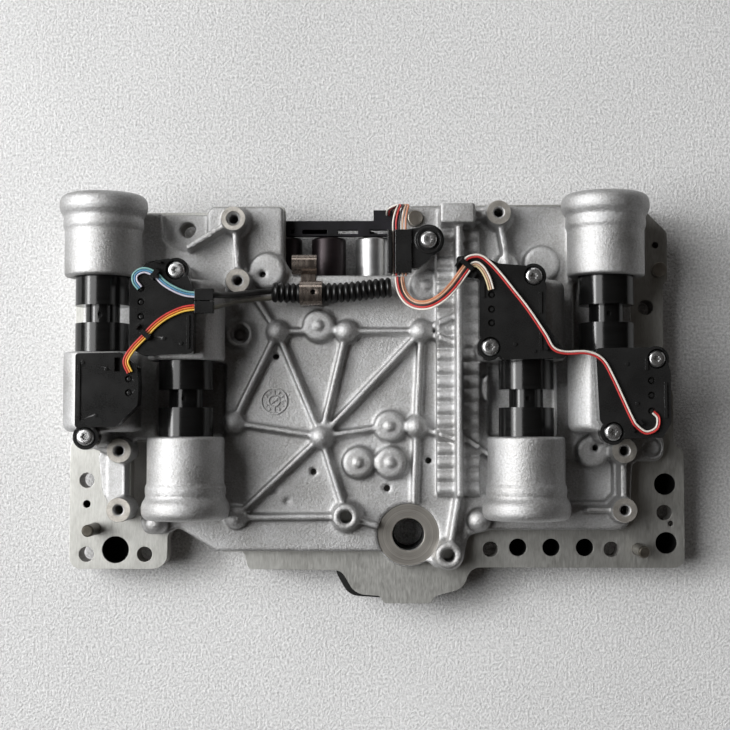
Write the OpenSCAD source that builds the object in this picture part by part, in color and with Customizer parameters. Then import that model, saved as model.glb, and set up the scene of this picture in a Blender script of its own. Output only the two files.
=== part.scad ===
// Electro-hydraulic control valve body of a dual-clutch transmission.
// Upper casting with four shift cylinders, separator plate, lower solenoid body, sensors and wiring.
// Frame: +X to the right, +Y towards the solenoid edge, +Z up, origin on the lower body's resting face.

/* [Stack] */
// Thickness of the lower body
lower_t = 22; // [20:1:26]
// Thickness of the separator plate
plate_t = 2; // [1.5:0.5:3]
// Thickness of the upper body's floor
base_t = 9; // [8:0.5:12]
// Height of the shift piston axis above the floor
axis_h = 21; // [20:0.5:24]

/* [Shift cylinders] */
// Axis of the outer left cylinder
outer_left_x = -145; // [-147:0.5:-144]
// Axis of the inner left cylinder
inner_left_x = -100.5; // [-102:0.5:-99]
// Axis of the inner right cylinder
inner_right_x = 79.5; // [78:0.5:81]
// Axis of the outer right cylinder
outer_right_x = 122; // [120.5:0.5:123]
// Middle of the fork gap of the two outer cylinders
outer_gap_y = 46; // [45:0.5:47]
// Middle of the fork gap of the two inner cylinders
inner_gap_y = 1.5; // [0.5:0.5:2.5]
// Length of the fork gap where the piston lies open
gap_l = 40; // [38:1:42]
// Length of the flared cylinder cup
cup_l = 44; // [42:1:46]
// Length of the plain cylinder under the sensor
tail_l = 42; // [41:0.5:44]
// Outer radius of the cylinders
cup_r = 20.4; // [19.5:0.1:21]
// Radius of the flared cup end
flare_r = 23.3; // [22.5:0.1:24]
// Distance of a tail's sensor seat above the piston axis
seat_h = 17; // [16.5:0.5:18]

/* [Shift pistons] */
// Radius of a piston's lands
piston_r = 14.5; // [13.5:0.1:15]
// Length of a piston
piston_l = 80; // [78:1:82]
// Travel to each side
piston_travel = 8; // [6:0.5:9]
// Width of the fork groove
groove_w = 9.5; // [8:0.5:11]
// Radius of the neck in the fork groove
neck_r = 9; // [8:0.25:10]
// Radial running clearance of pistons and spools
run_fit = 0.05; // [0.02:0.01:0.08]
// Width of a piston's seal ring
seal_w = 3; // [2:0.25:4]
// Depth of a piston's seal groove
seal_d = 2; // [1.5:0.1:2.5]
// Radius of the position magnet in a piston
magnet_r = 3; // [2.5:0.1:3.5]
// Thickness of the position magnet
magnet_t = 2.5; // [2:0.1:3]

/* [Sensors] */
// Thickness of a sensor housing
sensor_t = 11; // [9:0.5:12]
// Thickness of a sensor's screw ear
ear_t = 7; // [6:0.5:8]
// Radius of a screw ear
ear_r = 6.6; // [6:0.1:7]
// Radius of the cast column under a screw ear
column_r = 5.6; // [5:0.1:6]

/* [Screws and pins] */
// Radius of the sensor screws
screw_r = 2.4; // [2:0.1:2.6]
// Radius of the sensor screw heads
head_r = 4.5; // [4.2:0.1:5]
// Height of the sensor screw heads
head_h = 3.4; // [3:0.1:4]
// Depth of the screws in their columns
screw_grip = 10; // [8:0.5:12]
// Radius of the body bolts
bolt_r = 3; // [2.5:0.1:3.2]
// Radius of the body bolt heads
bolt_head_r = 5; // [4.5:0.1:5.5]
// Height of the body bolt heads
bolt_head_h = 6; // [5:0.5:6.5]
// Radius of the long dowels beside the flange
long_dowel_r = 3.3; // [3:0.1:3.5]
// Height of the long dowels above the plate
long_dowel_h = 20; // [16:1:24]
// Radius of the short dowels
short_dowel_r = 4; // [3.6:0.1:4.2]
// Height of the short dowels above their seat
short_dowel_h = 5; // [3:0.5:6]
// Clearance between pieces that are pushed together
fit = 0.05; // [0.03:0.01:0.1]

/* [Floor of the casting] */
// Width of the stiffening ribs
rib_w = 3; // [2.5:0.1:3.6]
// Height of the stiffening ribs
rib_h = 6.2; // [5:0.1:8]
// Radius of the domed bolt bosses
dome_r = 6.2; // [5.8:0.1:6.6]
// Height of the domed bolt bosses
dome_h = 9.5; // [9:0.5:11]
// Radius of the discs with a centre nipple
disc_r = 8.7; // [8:0.1:9]
// Height of the discs
disc_h = 6.5; // [5:0.5:8]
// Radius of the screw bosses
boss_r = 6.7; // [6.2:0.1:7.2]
// Height of the screw bosses above the plate
boss_h = 25; // [23:1:27]
// Radius of the small vent holes in the floor
vent_r = 1.65; // [1.2:0.05:2]
// Radius of the gallery ridges
ridge_r = 3.9; // [3.7:0.05:4.2]
// Spacing of the gallery ridges
ridge_pitch = 7.2; // [6.8:0.1:7.3]

/* [Ports and case holes] */
// Radius of the main port
port_r = 8.7; // [8:0.1:9.5]
// Radius of the machined face round the main port
port_face_r = 16.8; // [16:0.1:17.5]
// Radius of the case bolt holes
case_hole_r = 4.2; // [3.8:0.1:4.4]
// Radius of the threaded holes in the screw bosses
boss_hole_r = 2.5; // [2:0.1:3]
// Distance between the two boss columns left and right
boss_span_x = 269; // [267:1:271]
// Distance between the two boss rows
boss_span_y = 31.5; // [30:0.5:33]

/* [Solenoids] */
// Radius of a solenoid can
can_r = 9.65; // [9:0.05:9.9]
// Length of a solenoid can
can_l = 24; // [22:0.5:25]
// Radius of a solenoid nose
nose_r = 6; // [5:0.1:6.5]
// Length of a solenoid nose
nose_l = 18; // [15:0.5:20]
// Spacing of the solenoids
can_pitch = 24.6; // [23:0.1:25]
// Width of the lead frame bar
bar_w = 8.5; // [7.5:0.1:9]

/* [Control spools] */
// Radius of a spool's lands
spool_r = 4.95; // [4.5:0.05:5.5]
// Length of a spool
spool_l = 34; // [32:0.5:36]
// Travel of a spool
spool_travel = 6; // [5:0.5:6.5]
// Length of a spool spring
spring_l = 15; // [14:0.5:16]
// Radius of the spring wire
spring_wire_r = 0.45; // [0.35:0.05:0.55]
// Length of a spool bore's plug
plug_l = 9; // [8:0.5:10]

/* [Wiring] */
// Outer radius of the corrugated conduit
conduit_r = 5.5; // [5:0.1:5.8]
// Spacing of the conduit's corrugations
conduit_pitch = 3.2; // [3:0.1:3.6]
// Radius of one insulated wire
wire_r = 0.82; // [0.7:0.02:0.9]
// Wall of the spring clip round the conduit
clip_t = 0.8; // [0.6:0.1:1]

/* [Hidden] */
$fn = 48;
ACTUATORS = ["outer_left", "inner_left", "inner_right", "outer_right"];
SOLENOIDS = [1:6];
SPOOLS = [1:3];

plate_z = lower_t;
base_z = lower_t + plate_t;
floor_z = base_z + base_t;
axis_z = floor_z + axis_h;
seat_z = axis_z + seat_h;
boss_z = base_z + boss_h;

axis_x = [outer_left_x, inner_left_x, inner_right_x, outer_right_x];
gap_y = [outer_gap_y, inner_gap_y, inner_gap_y, outer_gap_y];
// Which way each cup points along Y
cup_way = [1, -1, -1, 1];
tail_y = [for (i = [0:3]) gap_y[i] - cup_way[i] * (gap_l + tail_l) / 2];
bore_spare = 6;
// Distance of a seal groove from the piston's end, and of the magnet from that groove
seal_from = 5;
magnet_from = 5;
magnet_inset = 0.5;
bore_l = (piston_l - gap_l) / 2 + piston_travel + bore_spare;

cast_grey = [0.72, 0.72, 0.71];
machined = [0.60, 0.59, 0.54];
black = [0.05, 0.05, 0.055];
zinc = [0.80, 0.80, 0.78];

// Rounded outlines: each corner is [x, y, radius].
arc_steps = 5;
function unit(v) = v / norm(v);
function xy(p) = [p[0], p[1]];
function wrap(a) = a > 180 ? a - 360 : a < -180 ? a + 360 : a;
function corner(a, b, c, r) =
  r == 0 ? [b] :
  let (u = unit(a - b), v = unit(c - b), half = acos(u * v) / 2,
       mid = b + unit(u + v) * r / sin(half), s = b + u * r / tan(half) - mid, e = b + v * r / tan(half) - mid,
       from = atan2(s[1], s[0]), turn = wrap(atan2(e[1], e[0]) - from))
  [for (i = [0:arc_steps]) mid + r * [cos(from + turn * i / arc_steps), sin(from + turn * i / arc_steps)]];
function rounded(p) =
  [for (i = [0:len(p) - 1])
    each corner(xy(p[(i + len(p) - 1) % len(p)]), xy(p[i]), xy(p[(i + 1) % len(p)]), p[i][2])];
function arc(r, from, to, n) =
  [for (i = [0:n]) r * [cos(from + (to - from) * i / n), sin(from + (to - from) * i / n)]];

// Outline of the separator plate, from the bottom left lobe anticlockwise.
plate_points = [
  [-168.5, -91, 6.5], [-114.5, -91, 8], [-114.5, -70, 6], [-106, -67.5, 4], [-84, -81.5, 2], [-72.5, -81.5, 2],
  [-70, -91, 3], [-19, -91.5, 7], [-11.5, -104.5, 10], [2, -105.5, 2], [4.5, -109.5, 2], [30, -109.5, 2],
  [32.5, -105.5, 2], [47.5, -101.5, 9], [52, -90, 7], [168.5, -90, 6], [168.5, -26, 4], [163, -23, 4],
  [163, 6, 4], [158, 11, 4], [158, 65, 2], [160.5, 67.5, 2], [160.5, 94, 3], [145, 110, 3], [13.5, 109, 2],
  [13.5, 68.5, 3], [-44, 68.5, 6], [-50, 78, 6], [-50, 109, 3], [-90, 109, 2], [-92.5, 105.5, 2],
  [-166, 105.5, 6], [-166, -20, 3], [-168.5, -24, 2]];
// Columns of the screw bosses.
boss_mid = [-2.5, -41.75];
boss_left = boss_mid[0] - boss_span_x / 2;
boss_right = boss_mid[0] + boss_span_x / 2;
// Outline of the casting's floor.
base_points = [
  [-163, -22, 4], [boss_left - 6, -29, 3], [boss_left + 3, -29, 2], [boss_left + 4, -20.5, 1],
  [-121.5, -20.5, 2], [-121.5, -58, 2], [-128.5, -63, 3], [-126, -71.5, 5], [-114, -71.5, 4], [-107, -68, 3],
  [-86.5, -80.5, 3], [4, -80.5, 2], [26, -84, 4], [32, -89.5, 3], [46, -89.5, 6], [50, -72, 4], [62, -69, 3],
  [boss_right + 5, -69, 6], [boss_right + 7, -32, 3], [boss_right + 24, -32, 6], [boss_right + 24, -17, 6],
  [boss_right + 11, -15, 3], [140, 30, 4], [140, 107, 3], [14, 107.5, 2], [14, 69.5, 3], [-44.5, 69.5, 6],
  [-50.5, 78.5, 6], [-50.5, 107.5, 3], [-90.5, 107.5, 3], [-92, 104, 1], [-161, 104, 6]];
// Wells in the casting's floor, at the case hole top left and beside the right bosses.
wells = [
  [[-92.5, 112, 0], [-92.5, 90.5, 5], [-104, 82.5, 5], [-116, 88, 5], [-118.5, 112, 0]],
  [[98.5, -31, 3], [boss_right - 3.5, -31, 3], [boss_right - 3.5, -49, 1], [boss_right - 8, -53.5, 1],
   [98.5, -53.5, 3]]];
well_floor = 3;
// Raised cast flange on the bottom left lobe, with a sloped web up to the bosses.
lobe_points = [[boss_left - 16, -26, 4], [boss_left + 1.5, -26, 1], [boss_left + 1.5, -60, 2],
               [boss_left - 4, -63, 5], [boss_left - 13, -50, 8]];
lobe_h = 3;
web_from = -11;
web_to = [0, 1.4];
web_y = [-57, -27];
web_h = 13;
// Deep relief between that web and the cylinder beside it.
relief_points = [[boss_left + 2, -21.5, 1], [-122, -21.5, 1], [-122, -57, 1], [boss_left + 2, -57, 1]];
relief_d = 10;

dome_at = [[-53.5, 38.5], [-16, 38.5], [24.5, 38.5], [-29.5, -18.5], [22, -13], [-77.5, -11], [-75.5, -62],
           [-119, -65], [55.5, -63.5]];
disc_at = [[-31, 41.5], [7.5, -13], [-9.5, -32.5], [8, -32.5], [27.5, 63.5]];
vent_at = [[-54.5, 25], [-34, -37.5], [6, -46.5], [28.5, -31.5]];
dimple_at = [[-54.5, -47.5], [-48, -53.5]];
plain_disc_at = [[-59, 71.5, 10], [90, 75, 10], [117, -26.5, 9], [64.5, 7.5, 8.6]];
disc_hole_at = [[-61.5, 69.5], [118, -24.5]];
corner_boss_at = [for (x = [boss_left, boss_right]) for (y = [-1, 1]) [x, boss_mid[1] + y * boss_span_y / 2]];
upper_boss_at = [[-76.5, 98.5], [-74, 65], [66, 101.5]];
low_boss = [71, 74];
ring_boss = [-74, 37];
rib_boss = [-16, -61.5];
corner_boss = [39, -82];
port_at = [17.5, -71.5];
// Ribs between the domes, as pairs of end points.
ribs_at = [
  [dome_at[0], dome_at[1]], [dome_at[1], dome_at[2]], [dome_at[0], dome_at[5]], [dome_at[0], dome_at[3]],
  [dome_at[1], dome_at[3]], [dome_at[2], dome_at[3]], [dome_at[3], dome_at[5]], [dome_at[3], [1.5, -13.7]],
  [dome_at[3], rib_boss], [dome_at[3], dome_at[6]], [dome_at[6], rib_boss], [dome_at[2], dome_at[4]],
  [dome_at[4], [20.5, -56]], [dome_at[2], [35, 34.5]], [dome_at[2], [35, 43.1]], [dome_at[4], [35, -17.4]],
  [dome_at[0], [-65, 56]], [rib_boss, port_at], [[54, -23.5], [62, -29]]];
// Short ribs that climb over the gallery to its spine.
gallery_ribs_at = [[[33.7, 35], [44, 31]], [[33.7, 42.5], [44, 47]], [[33.7, -17], [44, -20.5]],
                   [[45, -17.5], [55.3, -24.4]]];
gallery_rib_h = 12;
tall_ribs_at = [
  [upper_boss_at[0], [-102, 83]], [upper_boss_at[0], upper_boss_at[1]], [upper_boss_at[2], low_boss],
  [corner_boss_at[2], corner_boss_at[3]], [corner_boss_at[2], corner_boss_at[2] - [20, 0]]];
tall_rib_h = 13;

gallery_x = [32.5, 56];
gallery_y = [-50.5, 94];
spine_x = 44.5;
spine_w = 3.6;
spine_h = 20;
// Head of the spine at the top edge, as low corner and plan size, and the bar to its neighbour boss
head_at = [34.5, 95];
head_size = [18.5, 10.5];
head_rise = 3;
bar_from = [50, 101];
bar_rib_w = 4;

// Screw ears of the sensors, from each tail's middle, and their outlines as [x, y, corner radius].
ears = [
  [[-3.5, -23.6]], [[-2, 24.5]], [[1.6, 21.2], [-20.6, -15.2]], [[21.5, 16.1], [-0.8, -21.1]]];
sensor_points = [
  [[-8.5, 19.2, 1.5], [15, 19.6, 2], [23.2, 12.5, 2], [24.1, 2.5, 2], [23.6, -7.4, 2], [12.4, -18.4, 2],
   [-8.5, -19, 1.5]],
  [[-25.5, 19.5, 3], [-16.5, 28.5, 3], [-5, 30.5, 2], [4, 22, 2], [7.4, 14, 2], [7.4, -18.6, 2.5],
   [-18.5, -19.5, 2], [-25.5, -15.5, 2]],
  [[-37.9, 31, 1.5], [-27.2, 32.5, 2], [-16.2, 27.5, 2], [1, 26, 2], [7.9, 17, 2], [7.4, -3, 2],
   [14.2, -13.9, 1.5], [18.4, -18.1, 1.5], [17, -20.8, 1], [-13.7, -21.9, 2], [-26.3, -10.5, 2],
   [-26.3, 19.5, 1], [-37.9, 21, 1.5]],
  [[-9.7, 21.6, 2], [24, 22, 3], [28.3, 9.7, 2], [28.3, -16.4, 2], [24, -24, 2], [-2, -24.5, 2],
   [-8, -14.8, 2]]];
// Wire pockets on each sensor's top face.
pockets = [
  [for (y = [6, -1]) [19, y]], [for (y = [15, 8, 0.5]) [-19.5, y]], [for (y = [11.5, 4, -3]) [-20, y]],
  [for (y = [5, -2.5, -10.5]) [18.5, y]]];
pocket_r = 1.9;
pocket_d = 2;
// Sealed wire end that stands in each pocket
seal_r = 1;
seal_h = 1.3;
// Stiffening ridges on each sensor's top face, as [x, low y, high y].
ridges = [[[-6.5, -15, 15]], [[4.8, -16, 1]], [[4.8, -17, -6.5], [4.8, 2, 13], [-24.4, 10, 17]],
          [[25.5, -14, 4], [16, 10.5, 17]]];
ridge_w = 1.4;
ridge_h = 0.8;
// Small moulded studs on each sensor's top face.
studs = [[[-4.6, 14.4], [7.4, 11.2], [2.2, -12.7]], [[-7.6, -10.7], [1.2, -13.3]],
         [[-8.3, -13.9], [1.6, -17.4]], [[6, 13.5], [11, -6.6]]];
stud_r = 0.9;
stud_h = 0.6;
// Open window in the outer left sensor's top face, as low corner and plan size.
windows = [[[11.6, 9.8], [3.3, 7.2]]];
window_d = 4;
// Wire hooks that stand on the sensors, as [x, y, direction of the wires, width of the wires].
hooks = [[], [[-11, 24.6, -8, 6.6], [-18, -7.4, 48, 6.6]], [[-33.3, 24.1, 57, 9.4], [9.8, -14, -58, 5.2]],
         [[10.3, -18, -50, 4.2]]];
hook_h = 3.2;

guide_at = [12.8, 80];
guide_size = [12.7, 23.4];
guide_z = floor_z + 13;
guide_t = 8.5;
guide_ear = [28.2, 86.1];
guide_ear_r = 8.4;
guide_rim = [6, 7.3];
guide_rim_h = 1;
channel_w = 9.6;
channel_h = 2.8;
channel_floor = 3;
// Slit through which the wires are laid into the channel
slit_at = -4.2;
slit_w = 1.8;

// Top middle of each sensor, from which the wires on it are placed.
seat_top = seat_z + sensor_t;
sensor_top = [for (i = [0:3]) [axis_x[i], tail_y[i], seat_top]];
function on_sensor(i, points) = [for (p = points) sensor_top[i] + p];
// Two tie blocks side by side, joined by a strap under them
tie_size = [9.6, 6, 5];
tie_at = sensor_top[1] + [13.2, 8.2, -1];
tie_step = 3.25;
tie_socket = [3, 5.4, 1.9];
tie_strap = 0.8;
// Hand-picked route points of the wires, from the sensors to the guide and over the edge.
inner_left_route = on_sensor(1, [[-20, 15, 1], [-22.5, 18.5, 1.2], [-22.8, 22.3, 1.2], [-19, 24.9, 1.2],
  [-11, 24.7, 1.2], [-5, 21.5, 1.6], [1.5, 15.7, 2.2], [5.5, 12.5, 1.8], [8.3, 11.6, 1.5], [11, 11.45, 1.5]]);
outer_left_route = concat(
  on_sensor(0, [[19.5, 9, 1], [17.5, 14, 1.2], [20.5, 22, 1.2]]),
  on_sensor(1, [[-18, -7.5, 1.2], [-11.5, -2.1, 1.2], [-3.5, 2.1, 1.2], [3.5, 4.3, 1.3], [8, 4.9, 1.5],
    [11, 4.95, 1.5]]));
left_trunk_routes = [
  concat(on_sensor(1, [[17, 11.45, 1.5], [18.6, 11.4, 1.45], [21.1, 11.5, -2]]),
    [[-74.7, 55.5, 66], [-69.5, 57.3, 56], [-65, 58.4, 50], [-60, 59.2, 46.8], [-56.2, 59.6, 45.8]]),
  concat(on_sensor(1, [[17, 4.95, 1.5], [18.6, 5, 1.45], [21.1, 6.1, -2]]),
    [[-74.7, 51.6, 66], [-69.5, 53.4, 56], [-65, 54.6, 50], [-60, 55.3, 46.8], [-56.2, 55.8, 45.8]])];
sleeve_r = [1.6, 1.2];
conduit_route = [[-55.6, 59, 45.6], [-50, 58.9, 44.4], [-44, 58.7, 43.7], [-26, 58.7, 43.7], [-18, 59, 43.7],
  [-9, 59.8, 43.9], [-1, 60.8, 44.3], [8.5, 61.7, 44.6]];
guide_route = [[12.8, 67.3, 50.1], [12.8, 75, 50], [12.8, 84, 50], [12.5, 92, 50.2], [11.2, 98.5, 51],
  [9.6, 103.4, 50], [8.8, 106, 45.5], [8.6, 106.6, 38], [8.6, 106.5, 30], [8.6, 105.8, 23], [8.6, 105.3, 16.1]];
loop_route = concat(
  [[12.8, 66.9, 50.1], [13, 64, 50.2], [14.5, 57.5, 51], [18, 51.5, 52.5], [23.5, 48.4, 55], [29.5, 48.6, 60],
   [35.5, 52, 69]],
  on_sensor(2, [[-39.5, 14.5, -3.5], [-36.3, 19.5, 1.6], [-32.5, 25.4, 1.2]]));
inner_right_route = on_sensor(2, [[-30.9, 24.8, 1.2], [-29.6, 26.5, 1.2], [-27.3, 26.8, 1.2],
  [-24.5, 24.4, 1.2], [-21.9, 19.5, 1.2], [-20.3, 14, 1]]);
outer_right_route = concat(
  on_sensor(2, [[-34.4, 27.2, 1.2], [-31.9, 30.4, 1.2], [-26, 31.1, 1.2], [-20.7, 27.3, 1.3], [-15, 21, 1.5],
    [-9.5, 14, 1.7], [-2, 4.3, 1.9], [6.8, -8.9, 1.9], [10.9, -15.9, 1.7], [17, -18.3, 1.6]]),
  on_sensor(3, [[-14, 19.2, 1.4], [-6.5, 15.5, 1.3], [-1.5, 7, 1.2], [3.5, -4, 1.2], [8, -14, 1.2],
    [10.6, -18.2, 1.2], [15.5, -21.4, 1.2], [20.6, -19.2, 1.2], [21.5, -14, 1.1], [19, -11, 1]]));
wire_gap = 0.08;
wire_sides = 8;

solenoid_mid = -14.2;
function can_x(i) = solenoid_mid + (i - 3.5) * can_pitch;
can_y = 68.5;
can_z = lower_t / 2;
recess_x = [-91.5, 63.5];
recess_l = 60;
bar_y = can_y + can_l + 0.6;
bar_drop = 3;
bar_t = 5;
bar_z = [lower_t - bar_drop - bar_t, lower_t - bar_drop];
// Slots through the lead frame, as [can, from the can's axis, length].
bar_slots = [[1, 5.4, 11], [2, 3.7, 1.6], [3, -14.5, 13.8], [3, 5.4, 11.1], [4, -1.5, 10.6], [5, 5.4, 11]];
// Where the guided wires plug into the lead frame
socket_x = 8.6;
spool_mouth_y = -91;
function spool_x(i) = -64 + (i - 1) * 16;
spool_z = lower_t / 2;
plug_inset = 0.8;
spool_seat_y = spool_mouth_y + plug_inset + plug_l + spring_l;
spool_end_gap = 2;
spool_bore_l = plug_inset + plug_l + spring_l + spool_l + spool_end_gap;

long_dowel_at = [[-154.5, -69], [143, -80]];
short_dowel_plate_at = [155.5, 73];
short_dowel_cast_at = [21.5, 100.5];
// The case hole top left lies in a well of the casting
well_hole_at = [-104, 95.5];
case_holes_at = [[-159, -42.5], [-159, -83], [-127, -83], [62.5, -80], [128.5, -80], [157.5, -60],
                 [148.5, 52.5], well_hole_at];
dark_ports_at = [[77.5, -79, 4.8], [95.7, -79, 4.8], [114, -79, 4.8], [158.5, -76.5, 5.9], [158, -44.5, 5.9],
                 [-143, -80.5, 7.4], [-159, -55.5, 2.1]];
dark_port_d = 19;
// Flange round the case bolts: the body is undercut there, less the walls of the blind ports.
flange_t = 13;
port_wall = 2;
flange_cuts = [
  [[-175, -100, 0], [-112, -100, 0], [-112, -74.5, 3], [-131, -74.5, 6], [-139, -30, 4], [-175, -30, 0]],
  [[49, -100, 0], [175, -100, 0], [175, -30, 0], [148, -30, 4], [148, -72, 6], [49, -72, 0]],
  [[-116, 120, 0], [-116, 84, 4], [-90, 84, 0], [-90, 120, 0]],
  [[138, 42, 4], [175, 42, 0], [175, 63, 0], [138, 63, 4]]];
small_holes_at = [[154, 87, 1.8], [161, -66, 1.5]];
small_hole_d = 6;
// Clearances of holes that a bolt or screw passes through, and of aligned oil holes in the plate
bolt_clear = 0.4;
screw_clear = 0.3;
head_clear = 0.6;
port_clear = 0.3;
// Holes of the two low bosses
low_hole_r = 3.3;
// Depth of the pins in their seats
long_dowel_seat = 10;
plate_dowel_seat = 8;
cast_dowel_seat = 4;
// Recess on the casting's right wing
wing_recess = [boss_right + 17.5, -24.5, 5];

module at_axis(i) translate([axis_x[i], gap_y[i], axis_z]) mirror([0, cup_way[i] < 0 ? 1 : 0, 0]) children();
module along_y() rotate([-90, 0, 0]) children();
module at(p, z) translate([p[0], p[1], z]) children();

// A round tube swept along a route, offset sideways in the plan; r is one radius or one for each point.
function tangent(p, i) = unit(p[min(i + 1, len(p) - 1)] - p[max(i - 1, 0)]);
function side_of(t) = unit(cross(t, [0, 0, 1]));
module tube(route, r, shift = 0, sides = 8, across = undef) {
  n = len(route);
  rings = [for (i = [0:n - 1])
    let (t = tangent(route, i), s = is_undef(across) ? side_of(t) : across, u = cross(s, t),
         ring_r = is_list(r) ? r[i] : r)
    for (k = [0:sides - 1])
      route[i] + s * shift + ring_r * (s * cos(360 * k / sides) + u * sin(360 * k / sides))];
  walls = [for (i = [0:n - 2]) for (k = [0:sides - 1])
    let (a = i * sides + k, b = i * sides + (k + 1) % sides)
    each [[a, a + sides, b], [b, a + sides, b + sides]]];
  caps = [for (k = [1:sides - 2]) each [[0, k, k + 1],
    [(n - 1) * sides, (n - 1) * sides + k + 1, (n - 1) * sides + k]]];
  polyhedron(rings, concat(walls, caps));
}
module wires(route, count, across = undef) {
  pitch = 2 * wire_r + wire_gap;
  for (k = [0:count - 1]) tube(route, wire_r, (k - (count - 1) / 2) * pitch, wire_sides, across);
}

module rib(a, b, w, h) {
  d = b - a;
  translate([a[0], a[1], base_z + 1]) rotate([0, 0, atan2(d[1], d[0])])
    translate([0, -w / 2, 0]) cube([norm(d), w, base_t + h - 1]);
}
module dome(p) {
  crown = 5;
  profile = concat([[0, -1], [dome_r, -1], [dome_r, dome_h - crown]],
    [for (q = arc(1, 15, 90, 5)) [dome_r * q[0], dome_h - crown + crown * q[1]]]);
  at(p, floor_z) rotate_extrude() polygon(profile);
}
module nipple_disc(p) {
  edge = 2;
  tip_r = 2.2;
  tip_h = 1.2;
  at(p, floor_z) rotate_extrude() polygon([[0, -1], [disc_r, -1], [disc_r, disc_h - edge],
    [disc_r - 0.6, disc_h - 0.6], [disc_r - edge, disc_h], [tip_r + 0.6, disc_h], [tip_r, disc_h + tip_h * 0.7],
    [tip_r * 0.6, disc_h + tip_h], [0, disc_h + tip_h]]);
}
module plain_disc(p) {
  edge = 1.2;
  at(p, floor_z) rotate_extrude()
    polygon([[0, 1 - base_t], [p[2], 1 - base_t], [p[2], disc_h - edge], [p[2] - edge, disc_h], [0, disc_h]]);
}
module boss(p, r, top) {
  foot = 1.5;
  at(p, floor_z - 1) rotate_extrude()
    polygon([[0, 0], [r + foot, 0], [r + foot, foot], [r, 3 * foot], [r, top - floor_z + 1],
      [0, top - floor_z + 1]]);
}

// One cylinder pair: the flared cup on one side of the fork gap and the tail on the other.
module cylinder_pair(i) {
  bead = 0.9;
  round_end = 4.5;
  tail_end = 4;
  bead_from = cup_l - 19;
  flare_from = cup_l - 11;
  cup_profile = concat(
    [[0, 0], [cup_r - 0.8, 0], [cup_r, 0.8], [cup_r, bead_from], [cup_r + bead, bead_from + 1.5],
     [cup_r + bead, bead_from + 5], [cup_r + 0.4, bead_from + 6], [cup_r + bead, bead_from + 7.5],
     [flare_r - 0.6, flare_from + 1.5], [flare_r, flare_from + 3.5]],
    [for (q = arc(round_end, 0, 90, 4)) [flare_r - round_end + q[0], cup_l - round_end + q[1]]],
    [[0, cup_l]]);
  tail_profile = concat(
    [[0, 0], [cup_r - 0.8, 0], [cup_r, 0.8]],
    [for (q = arc(tail_end, 0, 90, 4)) [cup_r - tail_end + q[0], tail_l - tail_end + q[1]]],
    [[0, tail_l]]);
  foot_w = 2 * cup_r - 7;
  at_axis(i) {
    translate([0, gap_l / 2, 0]) along_y() rotate_extrude() polygon(cup_profile);
    translate([0, -gap_l / 2, 0]) mirror([0, 1, 0]) difference() {
      along_y() rotate_extrude() polygon(tail_profile);
      translate([-cup_r - 1, -1, seat_h]) cube([2 * cup_r + 2, tail_l + 2, cup_r]);
    }
    translate([-foot_w / 2, gap_l / 2, -axis_h - 2]) cube([foot_w, cup_l - 9, axis_h + 2]);
    translate([-foot_w / 2, -gap_l / 2 - tail_l + 2, -axis_h - 2]) cube([foot_w, tail_l - 2, axis_h + 2]);
  }
}
module cylinder_bores(i) {
  pocket_w = 2 * cup_r - 4;
  pocket_floor = 3;
  at_axis(i) {
    translate([0, -gap_l / 2 - bore_l, 0]) along_y() cylinder(r = piston_r + run_fit, h = gap_l + 2 * bore_l);
    outward = i == 0 ? -1 : i == 3 ? 1 : 0;
    translate([-pocket_w / 2 + outward * 4, -gap_l / 2, base_z + pocket_floor - axis_z])
      cube([pocket_w, gap_l, cup_r * 2]);
  }
}
module ear_columns() {
  for (i = [0:3]) for (e = ears[i])
    translate([axis_x[i] + e[0], tail_y[i] + e[1], floor_z - 1])
      cylinder(r = column_r, h = seat_z - floor_z + 1);
  at(guide_ear, floor_z - 1) cylinder(r = column_r, h = guide_z - floor_z + 1);
}
module gallery() {
  block_h = 7;
  count = floor((gallery_y[1] - gallery_y[0]) / ridge_pitch);
  translate([gallery_x[0] + 1, gallery_y[0], floor_z - 1])
    cube([gallery_x[1] - gallery_x[0] - 2, gallery_y[1] - gallery_y[0], block_h + 1]);
  for (k = [0:count - 1])
    translate([gallery_x[0], gallery_y[0] + ridge_pitch * (k + 0.55), floor_z + block_h - 1])
      rotate([0, 90, 0]) cylinder(r = ridge_r, h = gallery_x[1] - gallery_x[0]);
  translate([spine_x - spine_w / 2, gallery_y[0], floor_z - 1])
    cube([spine_w, gallery_y[1] - gallery_y[0] + 6, spine_h + 1]);
  rib([spine_x, gallery_y[0] + 0.5], corner_boss, spine_w, spine_h - 10);
  for (r = gallery_ribs_at) rib(r[0], r[1], rib_w, gallery_rib_h);
  at(head_at, floor_z - 1) cube([head_size[0], head_size[1], spine_h + head_rise + 1]);
  rib(bar_from, upper_boss_at[2], bar_rib_w, spine_h - 6);
}
module port_boss() {
  rim = 0.7;
  at(port_at, base_z) cylinder(r = port_face_r + rim, h = base_t - rim);
}
module floor_plate() {
  difference() {
    translate([0, 0, base_z]) linear_extrude(base_t) polygon(rounded(base_points));
    translate([0, 0, base_z + well_floor]) linear_extrude(base_t) for (w = wells) polygon(rounded(w));
  }
  translate([0, 0, base_z]) linear_extrude(lobe_h) polygon(rounded(lobe_points));
  translate([boss_left, web_y[1], base_z]) rotate([90, 0, 0]) linear_extrude(web_y[1] - web_y[0])
    polygon([[web_from, lobe_h - 1], [web_to[1], lobe_h - 1], [web_to[1], web_h], [web_to[0], web_h]]);
}

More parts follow.
